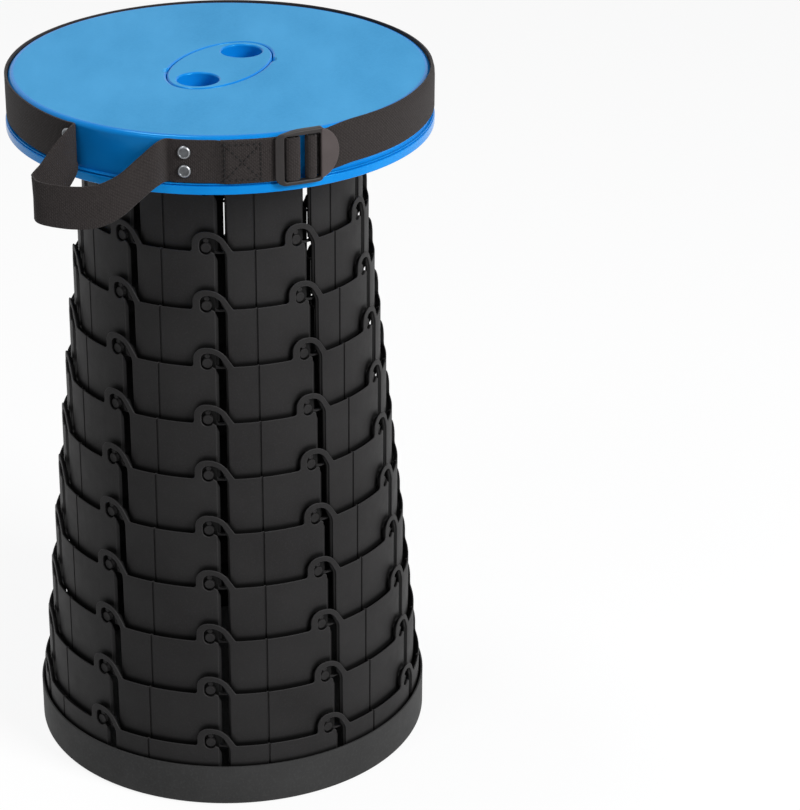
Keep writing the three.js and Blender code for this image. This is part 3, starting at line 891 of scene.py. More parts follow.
def bridge():
    """The bar across the foot of a slot, its upper side dished like a shallow cup"""
    loops = []
    for i in range(9):
        u = -3.8 + 7.6 * i / 8
        top = 1.1 + 1.5 * (u / 3.8) ** 2
        loops.append([(u, 0.2, 0.15), (u, 0.05, 0.35), (u, 0.05, top - 0.3), (u, 0.3, top)])
        loops[-1] += [(u, 1.9, top), (u, 1.9, 0.15)]
    points, faces = skin(loops)
    last = len(points) - 6
    return points, faces + [list(range(6)), list(range(last, last + 6))]


pin_shape = joined(turned_pin(pin_radius, 2.2, 0, 0, 28), turned_pin(1.7, 1.7, 0.1, 4.5, 16))
pin = new_piece("Pin pattern", *pin_shape)
bar = new_piece("Bridge pattern", *bridge())
print("the pin has", len(pin.data.polygons), "faces")

# %% [markdown]
# ## The ring tree
#
# The tree bends the flat panel round the axis, puts the pin beside it, and repeats both ten
# times. Its inputs are the ring's radius, the height of its lip, the angle of the first slot, the
# angle of the pin and the number of slots. Merging by distance closes the seams between panels.

# %% Start the ring tree
ring_tree, given = new_tree(
    "Slotted ring",
    {
        "Radius": "Float", "Lip height": "Float", "Foot height": "Float", "First slot": "Float",
        "Pin angle": "Float", "Pin height": "Float", "Slots": "Int", "Pin": "Object",
        "Bridge": "Object", "Material": "Material",
    },
)


def times(first, second):
    return sum_up(ring_tree, "MULTIPLY", first, second)


def stood_out(piece_socket, height, angle):
    """A pattern piece moved out to the ring's face and turned to its angle"""
    there = combined(ring_tree, Y=times(given["Radius"], -1.0), Z=height)
    out = moved(ring_tree, shape_of(ring_tree, piece_socket), Translation=there)
    return moved(ring_tree, out, Rotation=combined(ring_tree, Z=angle))


# %% Bend the panel and repeat it
spot = spot_of(ring_tree)
bend_angle = sum_up(ring_tree, "DIVIDE", spot["X"], given["Radius"])
bend_radius = sum_up(ring_tree, "SUBTRACT", given["Radius"], spot["Y"])
bent_place = combined(
    ring_tree,
    X=times(sum_up(ring_tree, "SINE", bend_angle), bend_radius),
    Y=times(times(sum_up(ring_tree, "COSINE", bend_angle), bend_radius), -1.0),
    Z=sum_up(ring_tree, "ADD", spot["Z"], given["Lip height"]),
)
bent = add(
    ring_tree, "GeometryNodeSetPosition", {"Geometry": given["Geometry"], "Position": bent_place}
)[0]
one = add(ring_tree, "GeometryNodeJoinGeometry")[0]
for part in (
    bent,
    stood_out(given["Pin"], given["Pin height"], given["Pin angle"]),
    stood_out(given["Bridge"], given["Foot height"], 0.0),
):
    ring_tree.links.new(part, one.node.inputs[0])
ring_copies = copied_round(ring_tree, one, given["Slots"], given["First slot"])
close_tree(ring_tree, ring_copies, given["Material"])
print("ring tree has", len(ring_tree.nodes), "nodes")


# %% Grow the eleven slotted rings
def grow_ring(name, level, wall, studs, bridges):
    """Bends a panel into the ring of a level, with its pins and its bridges"""
    radius, foot = ring_radius(level), ring_foot(level)
    inputs = {
        "Radius": radius * MM,
        "Lip height": (foot + ring_height) * MM,
        "Foot height": foot * MM,
        "First slot": ring_turn(level),
        "Pin angle": pin_across / (radius + ring_step) - turn_step,
        "Pin height": (foot + ring_overlap + pin_up) * MM,
        "Slots": slot_count,
        "Pin": studs,
        "Bridge": bridges,
        "Material": ring_plastic,
    }
    return finish(grow(name, ring_tree, wall, inputs), ring_plastic)


empty = new_piece("Nothing", [], [])
for level, (points, faces, wear) in enumerate(panels):
    flat = new_piece("Panel", points, faces, {"wear": wear})
    node = f"sliding_ring_{level:02d}" if level else "foot_ring"
    ring = grow_ring(
        node + "_wall", level, flat.data, pin if level else empty, bar if level else empty
    )
    bpy.data.objects.remove(flat)
    carry(ring, f"ring_{level:02d}" if level else "base", "ring_plastic", node)

# %% [markdown]
# ## The top ring
#
# The uppermost ring is fixed to the seat and mostly hidden behind its rim, so it is a plain tube
# with the same ten pins. A turned tube is a closed chain of loops. The pins are set round it by
# the same tree, with the tube's own wall left out of the repeating.


# %% Turn the top ring
def tube(inner, outer, low, high, soft=0.4, count=256):
    """An upright tube with soft edges, as a closed skin"""
    profile = [(inner, low + soft), (inner + soft, low), (outer - soft, low)]
    profile += [(outer - soft * 0.3, low + soft * 0.3), (outer, low + soft)]
    profile += [(outer, high - soft), (outer - soft, high), (inner + soft, high)]
    profile += [(inner, high - soft)]
    return skin([circle(r, z, count) for r, z in profile], closed=True)


top_radius, top_foot, top_height = ring_radius(11), ring_foot(11), 46.9
top_ring = new_piece(
    "top_ring_wall", *tube(top_radius - ring_wall, top_radius, top_foot, top_foot + top_height)
)
finish(top_ring, ring_plastic)
carry(top_ring, "seat", "ring_plastic", "top_ring")
top_pins = grow_ring("top_ring_pins", 11, empty.data, pin, empty)
carry(top_pins, "seat", "ring_plastic")
for pattern in (pin, bar, empty):
    bpy.data.objects.remove(pattern)

# %% [markdown]
# ## The base pan
#
# The lowest ring stands in a shallow round pan. Its band has a rounded lower edge and a thin
# upper lip, and ten keys inside it hold the ring's slots so that the ring can't turn. The pan is
# one turned profile from pole to pole. The keys are a box, repeated by a second, simpler tree.

# %% Turn the base pan
base_radius, band_height, floor_thickness, foot_round = 122.4, 26.9, 2.6, 2
band_inner = foot_ring_radius + 0.35
base_profile = [(108, 0.9), (109.5, 0)]
base_profile += arc_profile(base_radius - foot_round, foot_round, foot_round, -90, 0, 4)
base_profile += [(base_radius, band_height - 0.5), (base_radius - 0.15, band_height - 0.15)]
base_profile += [(base_radius - 0.5, band_height), (band_inner + 1.2, band_height)]
base_profile += [(band_inner + 0.9, band_height - 0.3), (band_inner, band_height - 3)]
base_profile += [(band_inner, floor_thickness)]
base_loops = [circle(r, z) for r, z in base_profile]
base_points, base_faces = skin([[(0, 0, 0.9)], *base_loops, [(0, 0, floor_thickness)]])
base = new_piece("base_pan_shell", base_points, base_faces)
finish(base, base_plastic)
carry(base, "base", "base_plastic", "base_pan")

# %% [markdown]
# ## A tree that repeats a shape round the axis
#
# The keys of the pan are one small box, copied ten times at equal angles.

# %% Build the repeating tree and set the keys
round_tree, given = new_tree(
    "Repeat round the axis", {"Copies": "Int", "First angle": "Float", "Material": "Material"}
)
key_copies = copied_round(round_tree, given["Geometry"], given["Copies"], given["First angle"])
close_tree(round_tree, key_copies, given["Material"])


def block(left, right, near, far, low, high, soft=0.3):
    """A box at the front of the axis, with soft edges"""
    made = bmesh.new()
    bmesh.ops.create_cube(made, size=1)
    size = Vector((right - left, near - far, high - low)) * MM
    centre = Vector((left + right, -near - far, low + high)) / 2 * MM
    for vert in made.verts:
        vert.co = Vector([a * abs(b) for a, b in zip(vert.co, size)]) + centre
    bmesh.ops.bevel(made, geom=made.edges, offset=soft * MM, segments=2, affect="EDGES")
    mesh = bpy.data.meshes.new("Block")
    made.to_mesh(mesh)
    made.free()
    return mesh


key_half, key_inner, key_top = 3.1, foot_ring_radius - ring_wall, 11.6
key = block(-key_half, key_half, key_inner, band_inner + 0.5, floor_thickness - 0.5, key_top)
keys = grow(
    "base_pan_keys",
    round_tree,
    key,
    {"Copies": slot_count, "First angle": ring_turn(0), "Material": base_plastic},
)
finish(keys, base_plastic)
carry(keys, "base", "base_plastic")

# %% [markdown]
# ## The seat
#
# The seat is one moulding: a flat top with a rounded rim, a wall that the strap lies on, a small
# ledge below the strap, and a flange that drops over the base when the stool is shut. An oval
# well in the middle holds the plug. Every loop has the same number of points, and the oval loops
# share the angles of the round ones, so the skin runs evenly from the wall to the well. Two small
# notches beside the plug are pressed into the skin by moving its points.

# %% Turn the seat's outside
seat_top, ceiling, plug_turn = 432.0, 428.5, math.radians(23)
rim_inner, rim_outer, flange_inner, flange_outer, ledge = 120.7, 123.1, 123.4, 125.6, 125.2
flange_low, step_high, ledge_top = 399.2, 404.0, 405.5

outside = [(77, ceiling), (rim_inner - 1, ceiling)]
outside += arc_profile(rim_inner - 1, ceiling - 1, 1, 90, 0, 3)
outside += [(rim_inner, step_high + 0.4), (rim_inner + 0.4, step_high)]
outside += [(flange_inner - 0.4, step_high), (flange_inner, step_high - 0.4)]
outside += [(flange_inner, flange_low + 0.4), (flange_inner + 0.4, flange_low)]
outside += arc_profile(flange_outer - 0.6, flange_low + 0.6, 0.6, -90, 0, 4)
outside += arc_profile(flange_outer - 0.5, step_high - 0.3, 0.5, 0, 90, 3)
outside += [(124.1, step_high + 0.3), (124.1, step_high + 0.9), (ledge - 0.2, step_high + 1)]
outside += [(ledge, step_high + 1.1)]
outside += arc_profile(ledge - 0.3, ledge_top - 0.3, 0.3, 0, 90, 3)
outside += [(rim_outer + 0.25, ledge_top), (rim_outer, ledge_top + 0.25)]
outside += [(rim_outer, seat_top - 12)]
outside += arc_profile(rim_outer - 3, seat_top - 3, 3, 0, 90, 8)
print("the seat's outside has", len(outside), "loops")


# %% Sizes of the well, and oval loops
plug_long, plug_short = 45, 26
well_long, well_short, well_floor = plug_long + 0.3, plug_short + 0.3, seat_top - 20.3
boss_long, boss_short = 46.7, 27.7


def on_plug(lengthwise, sideways):
    """A level place from its distances along and beside the plug's long side"""
    return (
        sideways * math.cos(plug_turn) + lengthwise * math.sin(plug_turn),
        -sideways * math.sin(plug_turn) + lengthwise * math.cos(plug_turn),
    )


def oval(long_half, short_half, height, count=256):
    """A level oval loop, its long side turned with the plug, its points in step with circle()"""
    turns = [2 * math.pi * i / count + plug_turn for i in range(count)]
    return [(*on_plug(-long_half * math.cos(a), short_half * math.sin(a)), height) for a in turns]


print("the well is", 2 * well_long, "mm long and", 2 * well_short, "mm wide")

# %% Join the outside, the top and the well
loops = [[(0, 0, well_floor - 2.2)], oval(boss_long, boss_short, well_floor - 2.2)]
loops += [
    oval(boss_long + out, boss_short + out, height)
    for out, height in (
        (0.6, well_floor - 2), (0.8, well_floor - 1.4), (0.8, ceiling - 0.5), (1.3, ceiling)
    )
]
loops += [circle(r, z) for r, z in outside]
first_matt_and_sheen = len(loops)
loops += [circle(r, seat_top) for r in (119.3, 90, 64)]
# the edge of the well: steps outwards, steps down, and how much the notches press them
well = [(4.5, 0, 0), (2.9, 0, 0), (2.5, 0, 0.9), (1.6, 0, 1), (1.1, 0.1, 1), (0.35, 0.4, 1)]
well += [(0, 1.1, 1), (0, 2.4, 0)]
notch_share = [0] * len(loops) + [share for _, _, share in well] + [0, 0, 0]
loops += [oval(well_long + out, well_short + out, seat_top - down) for out, down, _ in well]
loops += [oval(well_long, well_short, well_floor + 1)]
loops += [oval(well_long - 0.8, well_short - 0.8, well_floor), [(0, 0, well_floor)]]
print("the seat has", len(loops), "loops")

# %% Press the notches and finish the seat
notch_depth = 1.5
notches = [Vector(on_plug(21.7, 22.8)), Vector(on_plug(-21.7, -22.8))]
for loop, share in zip(loops, notch_share):
    for i, (x, y, z) in enumerate(loop):
        near = min((Vector((x, y)) - spot).length for spot in notches)
        if share and near < 5:
            loop[i] = (x, y, z - notch_depth * share * (1 - eased(near, 2.9, 3.7)))

# the flat top's points get the matt value, which also paints them paler as sheen
matt_and_sheen_loops = range(first_matt_and_sheen, first_matt_and_sheen + 7)
matt_and_sheen_values = [float(number in matt_and_sheen_loops) for number, loop in enumerate(loops) for _ in loop]
seat = new_piece("seat_shell", *skin(loops), {"matt": matt_and_sheen_values})
finish(seat, seat_plastic)
carry(seat, "seat", "seat_plastic", "seat")

# %% [markdown]
# ## Under the seat
#
# A collar under the seat centres the top ring, and eight ribs join it to the well. Nobody sees
# them from outside, but they are part of the moulding, so they are there, in a plain form.

# %% Add the collar and the ribs
under_low, under_high = ceiling - 8, ceiling + 0.6
collar = new_piece("seat_collar", *tube(73.9, 76.4, under_low, under_high))
finish(collar, seat_plastic)
carry(collar, "seat", "seat_plastic")


def rib(angle):
    """An upright rib under the seat, from the boss of the well to the collar"""
    lengthwise, sideways = math.cos(angle + plug_turn), math.sin(angle + plug_turn)
    start = 1 / math.hypot(lengthwise / boss_long, sideways / boss_short)
    corners = [(-1, under_low), (1, under_low), (1, under_high), (-1, under_high)]
    points, faces = skin(
        [[around(angle + x / radius, radius, z) for x, z in corners] for radius in (start, 74.5)]
    )
    return points, faces + [[0, 1, 2, 3], [4, 5, 6, 7]]


ribs = new_piece("seat_ribs", *joined(*[rib(math.radians(22.5 + 45 * i)) for i in range(8)]))
finish(ribs, seat_plastic)
carry(ribs, "seat", "seat_plastic")

# %% [markdown]
# ## The plug
#
# The oval plug has two round finger holes. Its upper face is a flat plate with two holes, its
# edges soft, and each hole goes on down into a cup. The same plate routine that drew the ring
# panels draws it. The underside is a second plate, so that the plug is a closed shell when it is
# lifted out.


# %% Helpers: outlines of the plug
def oval_loop(long_half, short_half, count=128):
    """A flat oval outline, anticlockwise, its long side upright"""
    turns = [2 * math.pi * i / count for i in range(count)]
    return [np.array((short_half * math.cos(t), long_half * math.sin(t))) for t in turns]


def hole_loop(radius, up, count=64):
    """A flat round hole, clockwise"""
    turns = [-2 * math.pi * i / count for i in range(count)]
    return [np.array((radius * math.cos(t), up + radius * math.sin(t))) for t in turns]


plug_edge, cup_radius, cup_place = 1.2, 12, 28.4


def plug_outline(out_by, hole_radius):
    """The plug's oval, moved out by a distance, with its two round holes"""
    holes = [hole_loop(hole_radius, middle) for middle in (cup_place, -cup_place)]
    return [oval_loop(plug_long + out_by, plug_short + out_by), *holes]


def plug_loop(outline, depth):
    """A flat outline set in its place, at a depth below the top of the seat"""
    return [(*on_plug(up, across), seat_top - depth) for across, up in outline]


print("the outline of a hole has", len(hole_loop(cup_radius, cup_place)), "points")


# %% Shape the plug's face
def quarter_round(edge, face=0.0):
    """Steps of a plate's edge that make a quarter round"""
    turns = [math.radians(t) for t in (18, 36, 54, 72, 90)]
    return [(edge * math.sin(t), face + edge * (1 - math.cos(t)), 0) for t in turns]


def plug_rows(u, v, way):
    """The edge of the plug's face: a skirt outside, and a cup in each finger hole"""
    if math.hypot(u, abs(v) - cup_place) < cup_radius + 1.5:
        return quarter_round(plug_edge) + [(plug_edge, 7, 0), (plug_edge, 14, 0)]
    rows = [(0.3, 0.06, 0), (0.7, 0.3, 0), (1.0, 0.7, 0), (1.15, 1.2, 0)]
    return rows + [(plug_edge, depth, 0) for depth in (1.8, 8, 14)]


points, faces, _ = plate(plug_outline(0, cup_radius), plug_edge, plug_rows, level_face)
twins = len([f for f in faces if len(f) == 3]) // 2
face_shape = (
    [(*on_plug(v, u), seat_top - depth) for u, depth, v in points],
    faces[:twins] + faces[2 * twins :],
)
print("the plug's face has", len(face_shape[1]), "faces")


# %% Close the plug
def cups(profile, floor):
    """The two finger cups as round shells, from (radius, depth) steps"""
    made = []
    for middle in (cup_place, -cup_place):
        loops = [plug_loop(hole_loop(r, middle), depth) for r, depth in profile]
        made.append(skin([*loops, plug_loop([(0, middle)], floor)]))
    return made


inner_cups = cups([(12, 14), (12, 14.6), (11.5, 15.4), (10.6, 16)], 16)
outer_cups = cups([(14, 2.6), (14, 17.2), (13.2, 18)], 18)
skirt_steps = [(0, 14), (0, 19.6), (-0.4, 20), (-1.6, 20), (-2, 19.6), (-2, 3.2), (-2.6, 2.6)]
skirt = skin([plug_loop(plug_outline(out_by, 14)[0], depth) for out_by, depth in skirt_steps])
flat_points, flat_faces = triangulated(plug_outline(-2.6, 14), [])
underside = (plug_loop(flat_points, 2.6), flat_faces)
plug_points, plug_faces = joined(face_shape, *inner_cups, skirt, underside, *outer_cups)
# the plug's flat top is matt too, and painted paler as sheen
plug_matt_and_sheen = [float(abs(z - seat_top) < 0.01) for _, _, z in plug_points]
plug = new_piece("seat_plug_shell", plug_points, plug_faces, {"matt": plug_matt_and_sheen})
finish(plug, seat_plastic)
carry(plug, "plug", "seat_plastic", "seat_plug")

# %% [markdown]
# ## Webbing
#
# The strap is woven polyester webbing, 25 mm wide. It has fine ribs across, and its threads cross
# in slanting lines. The strap carries its own map: across the webbing and along its length, both
# in metres. So the weave follows every bend, where a pattern on the stool's coordinates would
# slide through the cloth.

# %% Make the webbing finish
webbing, tree, shader = new_finish("Brown-black webbing", 0.15)
where = combined(tree, X=value_on(tree, "along"), Y=value_on(tree, "across"))


def bands(direction, scale, distortion, detail, detail_scale):
    """Soft bands on the webbing's own map"""
    inputs = {"Vector": where, "Scale": scale, "Distortion": distortion}
    inputs |= {"Detail": detail, "Detail Scale": detail_scale}
    return add(tree, "ShaderNodeTexWave", inputs, bands_direction=direction)["Fac"]


weave = sum_up(tree, "MULTIPLY", bands("X", 290, 0.8, 1, 3), bands("DIAGONAL", 330, 1.5, 2, 2))
fuzz = patches(tree, 900, 4, 0.2)
threads = tinted(tree, weave, (0.0175, 0.0145, 0.014), (0.034, 0.0285, 0.0275))
threads = tinted(tree, sum_up(tree, "MULTIPLY", fuzz, 0.45), threads, (0.041, 0.035, 0.034))
relief = sum_up(tree, "ADD", weave, sum_up(tree, "MULTIPLY", fuzz, 0.5))
cover(tree, shader, threads, 0.92, bumped(tree, relief, 0.6, 0.0003))
shader.inputs["Sheen Weight"].default_value = 0.08
print("finish:", webbing.name)

# %% [markdown]
# ## The strap's route
#
# One length of webbing makes the whole strap. It starts at the right bar of the buckle, runs
# round the back of the rim to the two left rivets, folds out into the carrying loop, comes back
# to the two right rivets, and ends with a doubled, sewn end round the left bar of the buckle. The
# route is a list of points, and a smooth line through them is the middle of the webbing. It
# stands for two solids of the frame, which share it between them.


# %% Helper: a smooth line
def smooth_line(points, step):
    """A smooth line through points, with new points about a step apart"""
    points = [Vector(p) for p in points]
    made = []
    for i in range(len(points) - 1):
        before, here, there = points[max(i - 1, 0)], points[i], points[i + 1]
        beyond = points[min(i + 2, len(points) - 1)]
        span = (there - here).length
        leave = (there - before) * span / ((here - before).length + span)
        arrive = (beyond - here) * span / ((beyond - there).length + span)
        count = max(1, math.ceil(span / step))
        for t in (k / count for k in range(count)):
            made.append(
                here * (2 * t**3 - 3 * t**2 + 1)
                + leave * (t**3 - 2 * t**2 + t)
                + there * (3 * t**2 - 2 * t**3)
                + arrive * (t**3 - t**2)
            )
    made.append(points[-1])
    return made


# %% Helper: a strip of webbing along a route
half_width, half_thick = 12.5, 0.8
strap_middle = seat_top - 1.2 - half_width
rim_route = rim_outer + 0.3 + half_thick


def webbing_strip(route):
    """Webbing along a route, its width upright but for the left of the loop, where it leans, and
    with its upper edge tucked in over the rim on the right: its points, its faces, and where each
    point lies on the cloth"""
    half_section = [(-half_width, 0), (-12.35, 0.5)]
    half_section += [(-11.9 + 23.8 * i / 8, half_thick) for i in range(9)] + [(12.35, 0.5)]
    section = half_section + [(-across, -through) for across, through in half_section]
    loops, along, across_values, run = [], [], [], 0.0
    for i, here in enumerate(route):
        after, before = route[min(i + 1, len(route) - 1)], route[max(i - 1, 0)]
        ahead = (after - before).normalized()
        run += (here - before).length
        turn = math.degrees(math.atan2(here.x, -here.y))
        off_rim = math.hypot(here.x, here.y) - rim_route
        lean = 0.16 * eased(off_rim, 2, 12) * (1 - eased(off_rim, 30, 39)) * (turn < -30)
        tuck = 1.2 * eased(turn, 27, 38) * (1 - eased(turn, 130, 170))
        wide, out = Vector((-lean, 0, 1)), Vector((ahead.y, -ahead.x, 0)).normalized()
        wide = (wide - ahead * ahead.dot(wide) * (lean > 0)).normalized()
        loops.append(
            [
                here + wide * across + out * (through - tuck * max(0, (across - 6.5) / 6) ** 2)
                for across, through in section
            ]
        )
        along.extend([run * MM] * len(section))
        across_values.extend(across * MM for across, _ in section)
    points, faces = skin(loops)
    last = len(points) - len(section)
    ends = [list(range(len(section))), list(range(last, last + len(section)))]
    return points, faces + ends, {"along": along, "across": across_values}


# %% Helpers: places at the buckle and along the rim
buckle_angle = math.radians(25.2)
buckle_back, buckle_front = 125.9, 130.5


def at_buckle(along, outward, height=strap_middle):
    """A place by its distance along the buckle, its distance from the axis and its height"""
    return (
        along * math.cos(buckle_angle) + outward * math.sin(buckle_angle),
        along * math.sin(buckle_angle) - outward * math.cos(buckle_angle),
        height,
    )


def rim_arc(start, end, radius):
    """Points along the rim between two angles in degrees. The strap has slipped up and stands off
    a little on the right and at the back, where nothing holds it."""
    count = max(2, round(abs(end - start) / 2.5))
    made = []
    for turn in (start + (end - start) * i / count for i in range(count + 1)):
        slipped = 2.7 * eased(turn, 27, 41) + 0.5 * eased(turn, 55, 75)
        slipped -= 1.2 * eased(turn, 80, 140)
        slipped -= 0.7 * eased(turn, 150, 230) + 1.1 * eased(turn, 295, 320)
        slack = 0.4 * eased(turn, 36, 70) * (1 - eased(turn, 120, 180))
        made.append(around(math.radians(turn), radius + slack, strap_middle + slipped))
    return made


print("the strap's middle is", round(strap_middle, 1), "mm above the floor")

# %% Draw the route of the loop
fold_angle, loop_end = -36.4, -11.0
loop_reach, loop_drop = 40.2, 20.5
# how far on from the fold to the loop's end, how far out, how far down
loop_shares = [
    (0.012, 0.094, 0), (0.0425, 0.31, 0.244), (0.043, 0.586, 0.634), (0.0315, 0.808, 0.878),
    (0.043, 0.94, 0.927), (0.102, 1, 0.951), (0.198, 0.972, 0.985), (0.369, 0.853, 1.03),
    (0.539, 0.713, 0.985), (0.696, 0.551, 0.745), (0.841, 0.362, 0.335), (0.961, 0.201, 0.03),
]
loop_route = []
for way, reach, drop in loop_shares:
    angle = math.radians(fold_angle + (loop_end - fold_angle) * way)
    height = strap_middle - loop_drop * drop
    loop_route.append(around(angle, rim_route + loop_reach * reach, height))
print("the loop stands out by", loop_reach, "mm")

# %% Lay the strap
doubled_out = 1.65
# both ends at the buckle: along it, and outwards from the axis
threaded = [(0.2, 126.4), (0.3, 128), (1, 129), (2.6, 129.3), (4.3, 129), (5, 128)]
threaded += [(5.4, 125.7), (8, 124.1)]
sewn = [(-16.5, 124.8), (-13.4, 125.3), (-12.1, 126.6), (-11.8, 128.2), (-10.8, 129)]
sewn += [(-8.2, 129.4), (-5.7, 129), (-4.8, 128), (-4.7, 126), (-5.6, 124.4), (-8.2, 123.95)]
sewn += [(-12, 123.6)]

strap_route = [at_buckle(*place, strap_middle + 0.2) for place in threaded]
strap_route += rim_arc(32, 360 + fold_angle - 0.4, rim_route) + loop_route
strap_route += rim_arc(loop_end + 0.6, 1.8, rim_route)
strap_route += rim_arc(5.2, 16.6, rim_route + doubled_out)
strap_route += [at_buckle(*place, strap_middle + 0.3) for place in sewn]
strap_route += rim_arc(17, 3.6, rim_route)
strap = new_piece("webbing_strap", *webbing_strip(smooth_line(strap_route, step=1.4)))
finish(strap, webbing)
carry(strap, "seat", "webbing", "rim_strap", "handle_loop")

# %% [markdown]
# ## The sewn end
#
# The doubled end is held by a box of stitches with a cross in it. Each line of stitches is drawn
# as a thin path on the webbing, and a tree sets a small thread along it at even steps. The thread
# is one round shape, stretched, with only a few faces, because there are fifty of them.

# %% Sew the end
thread, tree, shader = new_finish("Black thread", 0.25)
thread_black = tinted(tree, noise(tree, 900, 2), (0.003, 0.0027, 0.0027), (0.008, 0.007, 0.007))
cover(tree, shader, thread_black, 0.6, bumped(tree, noise(tree, 2400, 1), 0.4, 0.00008))

stitch_tree, given = new_tree(
    "Stitches", {"Step": "Float", "Length": "Float", "Width": "Float", "Material": "Material"}
)
line = add(stitch_tree, "GeometryNodeMeshToCurve", {"Mesh": given["Geometry"]})[0]
on_line = {"Curve": line, "Length": given["Step"]}
spots = add(stitch_tree, "GeometryNodeCurveToPoints", on_line, mode="LENGTH")
ball = add(stitch_tree, "GeometryNodeMeshUVSphere", {"Segments": 8, "Rings": 5, "Radius": 0.5})[0]
thread_size = combined(stitch_tree, X=given["Width"], Y=given["Width"], Z=given["Length"])
one_stitch = moved(stitch_tree, ball, Scale=thread_size)
sewn_line = copied(stitch_tree, spots["Points"], one_stitch, spots["Rotation"])
close_tree(stitch_tree, sewn_line, given["Material"])

stitch_radius = rim_route + doubled_out + half_thick + 0.05
left, right, up = math.radians(4.5), math.radians(13.5), 10.2
seams = [((left, -up), (left, up)), ((right, -up), (right, up)), ((left, -up), (right, up))]
seams += [((left, up), (right, -up)), ((left, up), (right, up)), ((left, -up), (right, -up))]
points, edges = [], []
for (first_angle, first_up), (last_angle, last_up) in seams:
    for i in range(9):
        turn = first_angle + (last_angle - first_angle) * i / 8
        height = strap_middle + first_up + (last_up - first_up) * i / 8
        points.append(Vector(around(turn, stitch_radius, height)) * MM)
        if i:
            edges.append((len(points) - 2, len(points) - 1))
seam_lines = bpy.data.meshes.new("Seam lines")
seam_lines.from_pydata(points, edges, [])
stitch_inputs = {"Step": 2.9 * MM, "Length": 2.2 * MM, "Width": 1.05 * MM, "Material": thread}
stitches = grow("sewn_end_stitches", stitch_tree, seam_lines, stitch_inputs)
finish(stitches, thread)
carry(stitches, "seat", "webbing")

# %% [markdown]
# ## The buckle
#
# The ladder buckle is a frame with a window and two bars, moulded in one with a rounded tab that
# is lifted to slacken the strap. The frame and the tab are plates with wide rounds, drawn by the
# plate routine again. The frame bows with the rim and its left bar is turned well back. The tab
# covers the right bar, and it is painted lighter, as a lit copy of the buckle plastic. Two more
# bars are hidden in the webbing, so they are plain rounded rods.


# %% Make the buckle's plastics
def buckle_finish(name, dark, light):
    """A brownish dark grey plastic with a satin surface"""
    made, tree, shader = new_finish(name, 0.3)
    colour = tinted(tree, patches(tree, 60, 4, 0.15), dark, light)
    roughness = graded(tree, noise(tree, 300, 2), 0.42, 0.55)
    cover(tree, shader, colour, roughness, bumped(tree, noise(tree, 1300, 2), 0.25, 0.0001))
    return made


buckle_plastic = buckle_finish("Buckle plastic", (0.019, 0.0165, 0.016), (0.027, 0.0235, 0.023))
# the tab's plastic is a lighter copy of the buckle plastic, painted as lit
painted_lit_tab_plastic = buckle_finish("Tab plastic painted lit", (0.052, 0.041, 0.040), (0.064, 0.051, 0.050))
print("plastics:", buckle_plastic.name, "and", painted_lit_tab_plastic.name)


# %% Helpers: the faces and the edges of the buckle
def closed_outline(corners):
    """A closed outline from an open one that ends where it starts"""
    return rounded(corners)[:-1]


def frame_front(u, v):
    """How far the frame's face lies behind the foremost point: it bows with the rim"""
    return 0.5 + 0.5 * ((u - 2) / (15.6 if u < 2 else 8)) ** 2 + 0.45 * max(0, -13.6 - u)


def frame_back(u, v):
    """The frame is thinner at its left end"""
    return 3.6 if u < -13 else 4.6


def tab_front(u, v):
    """The tab lies on the frame's right bar and leans back with the rim"""
    return 0.1 + 0.16 * (u - 7.7)


def tab_back(u, v):
    """The tab is 2 mm thick"""
    return tab_front(u, v) + 2


def rounded_rows(edge, face, back):
    """Edge steps of a plate with a quarter round in front and a small one behind"""

    def rows(u, v, way):
        behind = [(edge, back(u, v) - 0.4, 0), (edge - 0.4, back(u, v), 0)]
        return quarter_round(edge, face(u, v)) + behind

    return rows


# %% Draw the outlines of the buckle
frame_edge, tab_edge = 0.75, 0.8
frame_outline = closed_outline(
    [(0, -14.8, 0), (9.6, -14.8, 3), (9.6, 16.5, 1.6), (-5, 16.5, 40), (-18.4, 15, 4.4)]
    + [(-18.4, -14.8, 5.5), (0, -14.8, 0)]
)
window_outline = closed_outline(
    [(-3, -12.5, 0), (-13.6, -12.5, 1.4), (-13.6, 13.6, 1.4), (7.7, 13.6, 1.4)]
    + [(7.7, -12.5, 1.4), (-3, -12.5, 0)]
)
tab_end = [
    (5 + 14.3 * math.cos(t), 1.6 + 14.9 * math.sin(t), 0)
    for t in np.radians(np.arange(-72, 73, 6))
]
tab_outline = closed_outline(
    [(7.7, 0, 0), (7.7, -12.9, 0), *tab_end, (7.7, 16.1, 0), (7.7, 0, 0)]
)
print("the tab's outline has", len(tab_outline), "points")

# %% Mould the buckle
frame_shape = plate(
    [frame_outline, window_outline], frame_edge,
    rounded_rows(frame_edge, frame_front, frame_back),
    frame_back, [-16 + 2.4 * i for i in range(11)], front=frame_front,
)
tab_shape = plate(
    [tab_outline], tab_edge, rounded_rows(tab_edge, tab_front, tab_back), tab_back,
    [9 + 1.6 * i for i in range(6)], front=tab_front,
)
print("the frame has", len(frame_shape[1]), "faces and the tab", len(tab_shape[1]))


# %% Set the buckle on the rim
def bar_rod(along):
    """A rounded rod across the window"""
    section = [
        (along + 1.6 * math.cos(t), buckle_back + 1 + math.sin(t))
        for t in np.radians(np.arange(0, 360, 30))
    ]
    loops = [[at_buckle(u, out, strap_middle + v) for u, out in section] for v in (-13.6, 13.6)]
    points, faces = skin(loops)
    return points, faces + [list(range(12)), list(range(12, 24))]


def at_front(shape):
    """A flat plate set in its place on the rim"""
    points, faces, _ = shape
    return [at_buckle(u, buckle_front - depth, strap_middle + v) for u, depth, v in points], faces


buckle_bars = [bar_rod(along) for along in (-8.2, 2.6)]
buckle = new_piece("buckle_shell", *joined(at_front(frame_shape), *buckle_bars))
finish(buckle, buckle_plastic, sharp=50)
carry(buckle, "seat", "buckle_plastic", "buckle")
tab = new_piece("buckle_tab", *at_front(tab_shape))
finish(tab, painted_lit_tab_plastic, sharp=50)
carry(tab, "seat", "buckle_plastic")
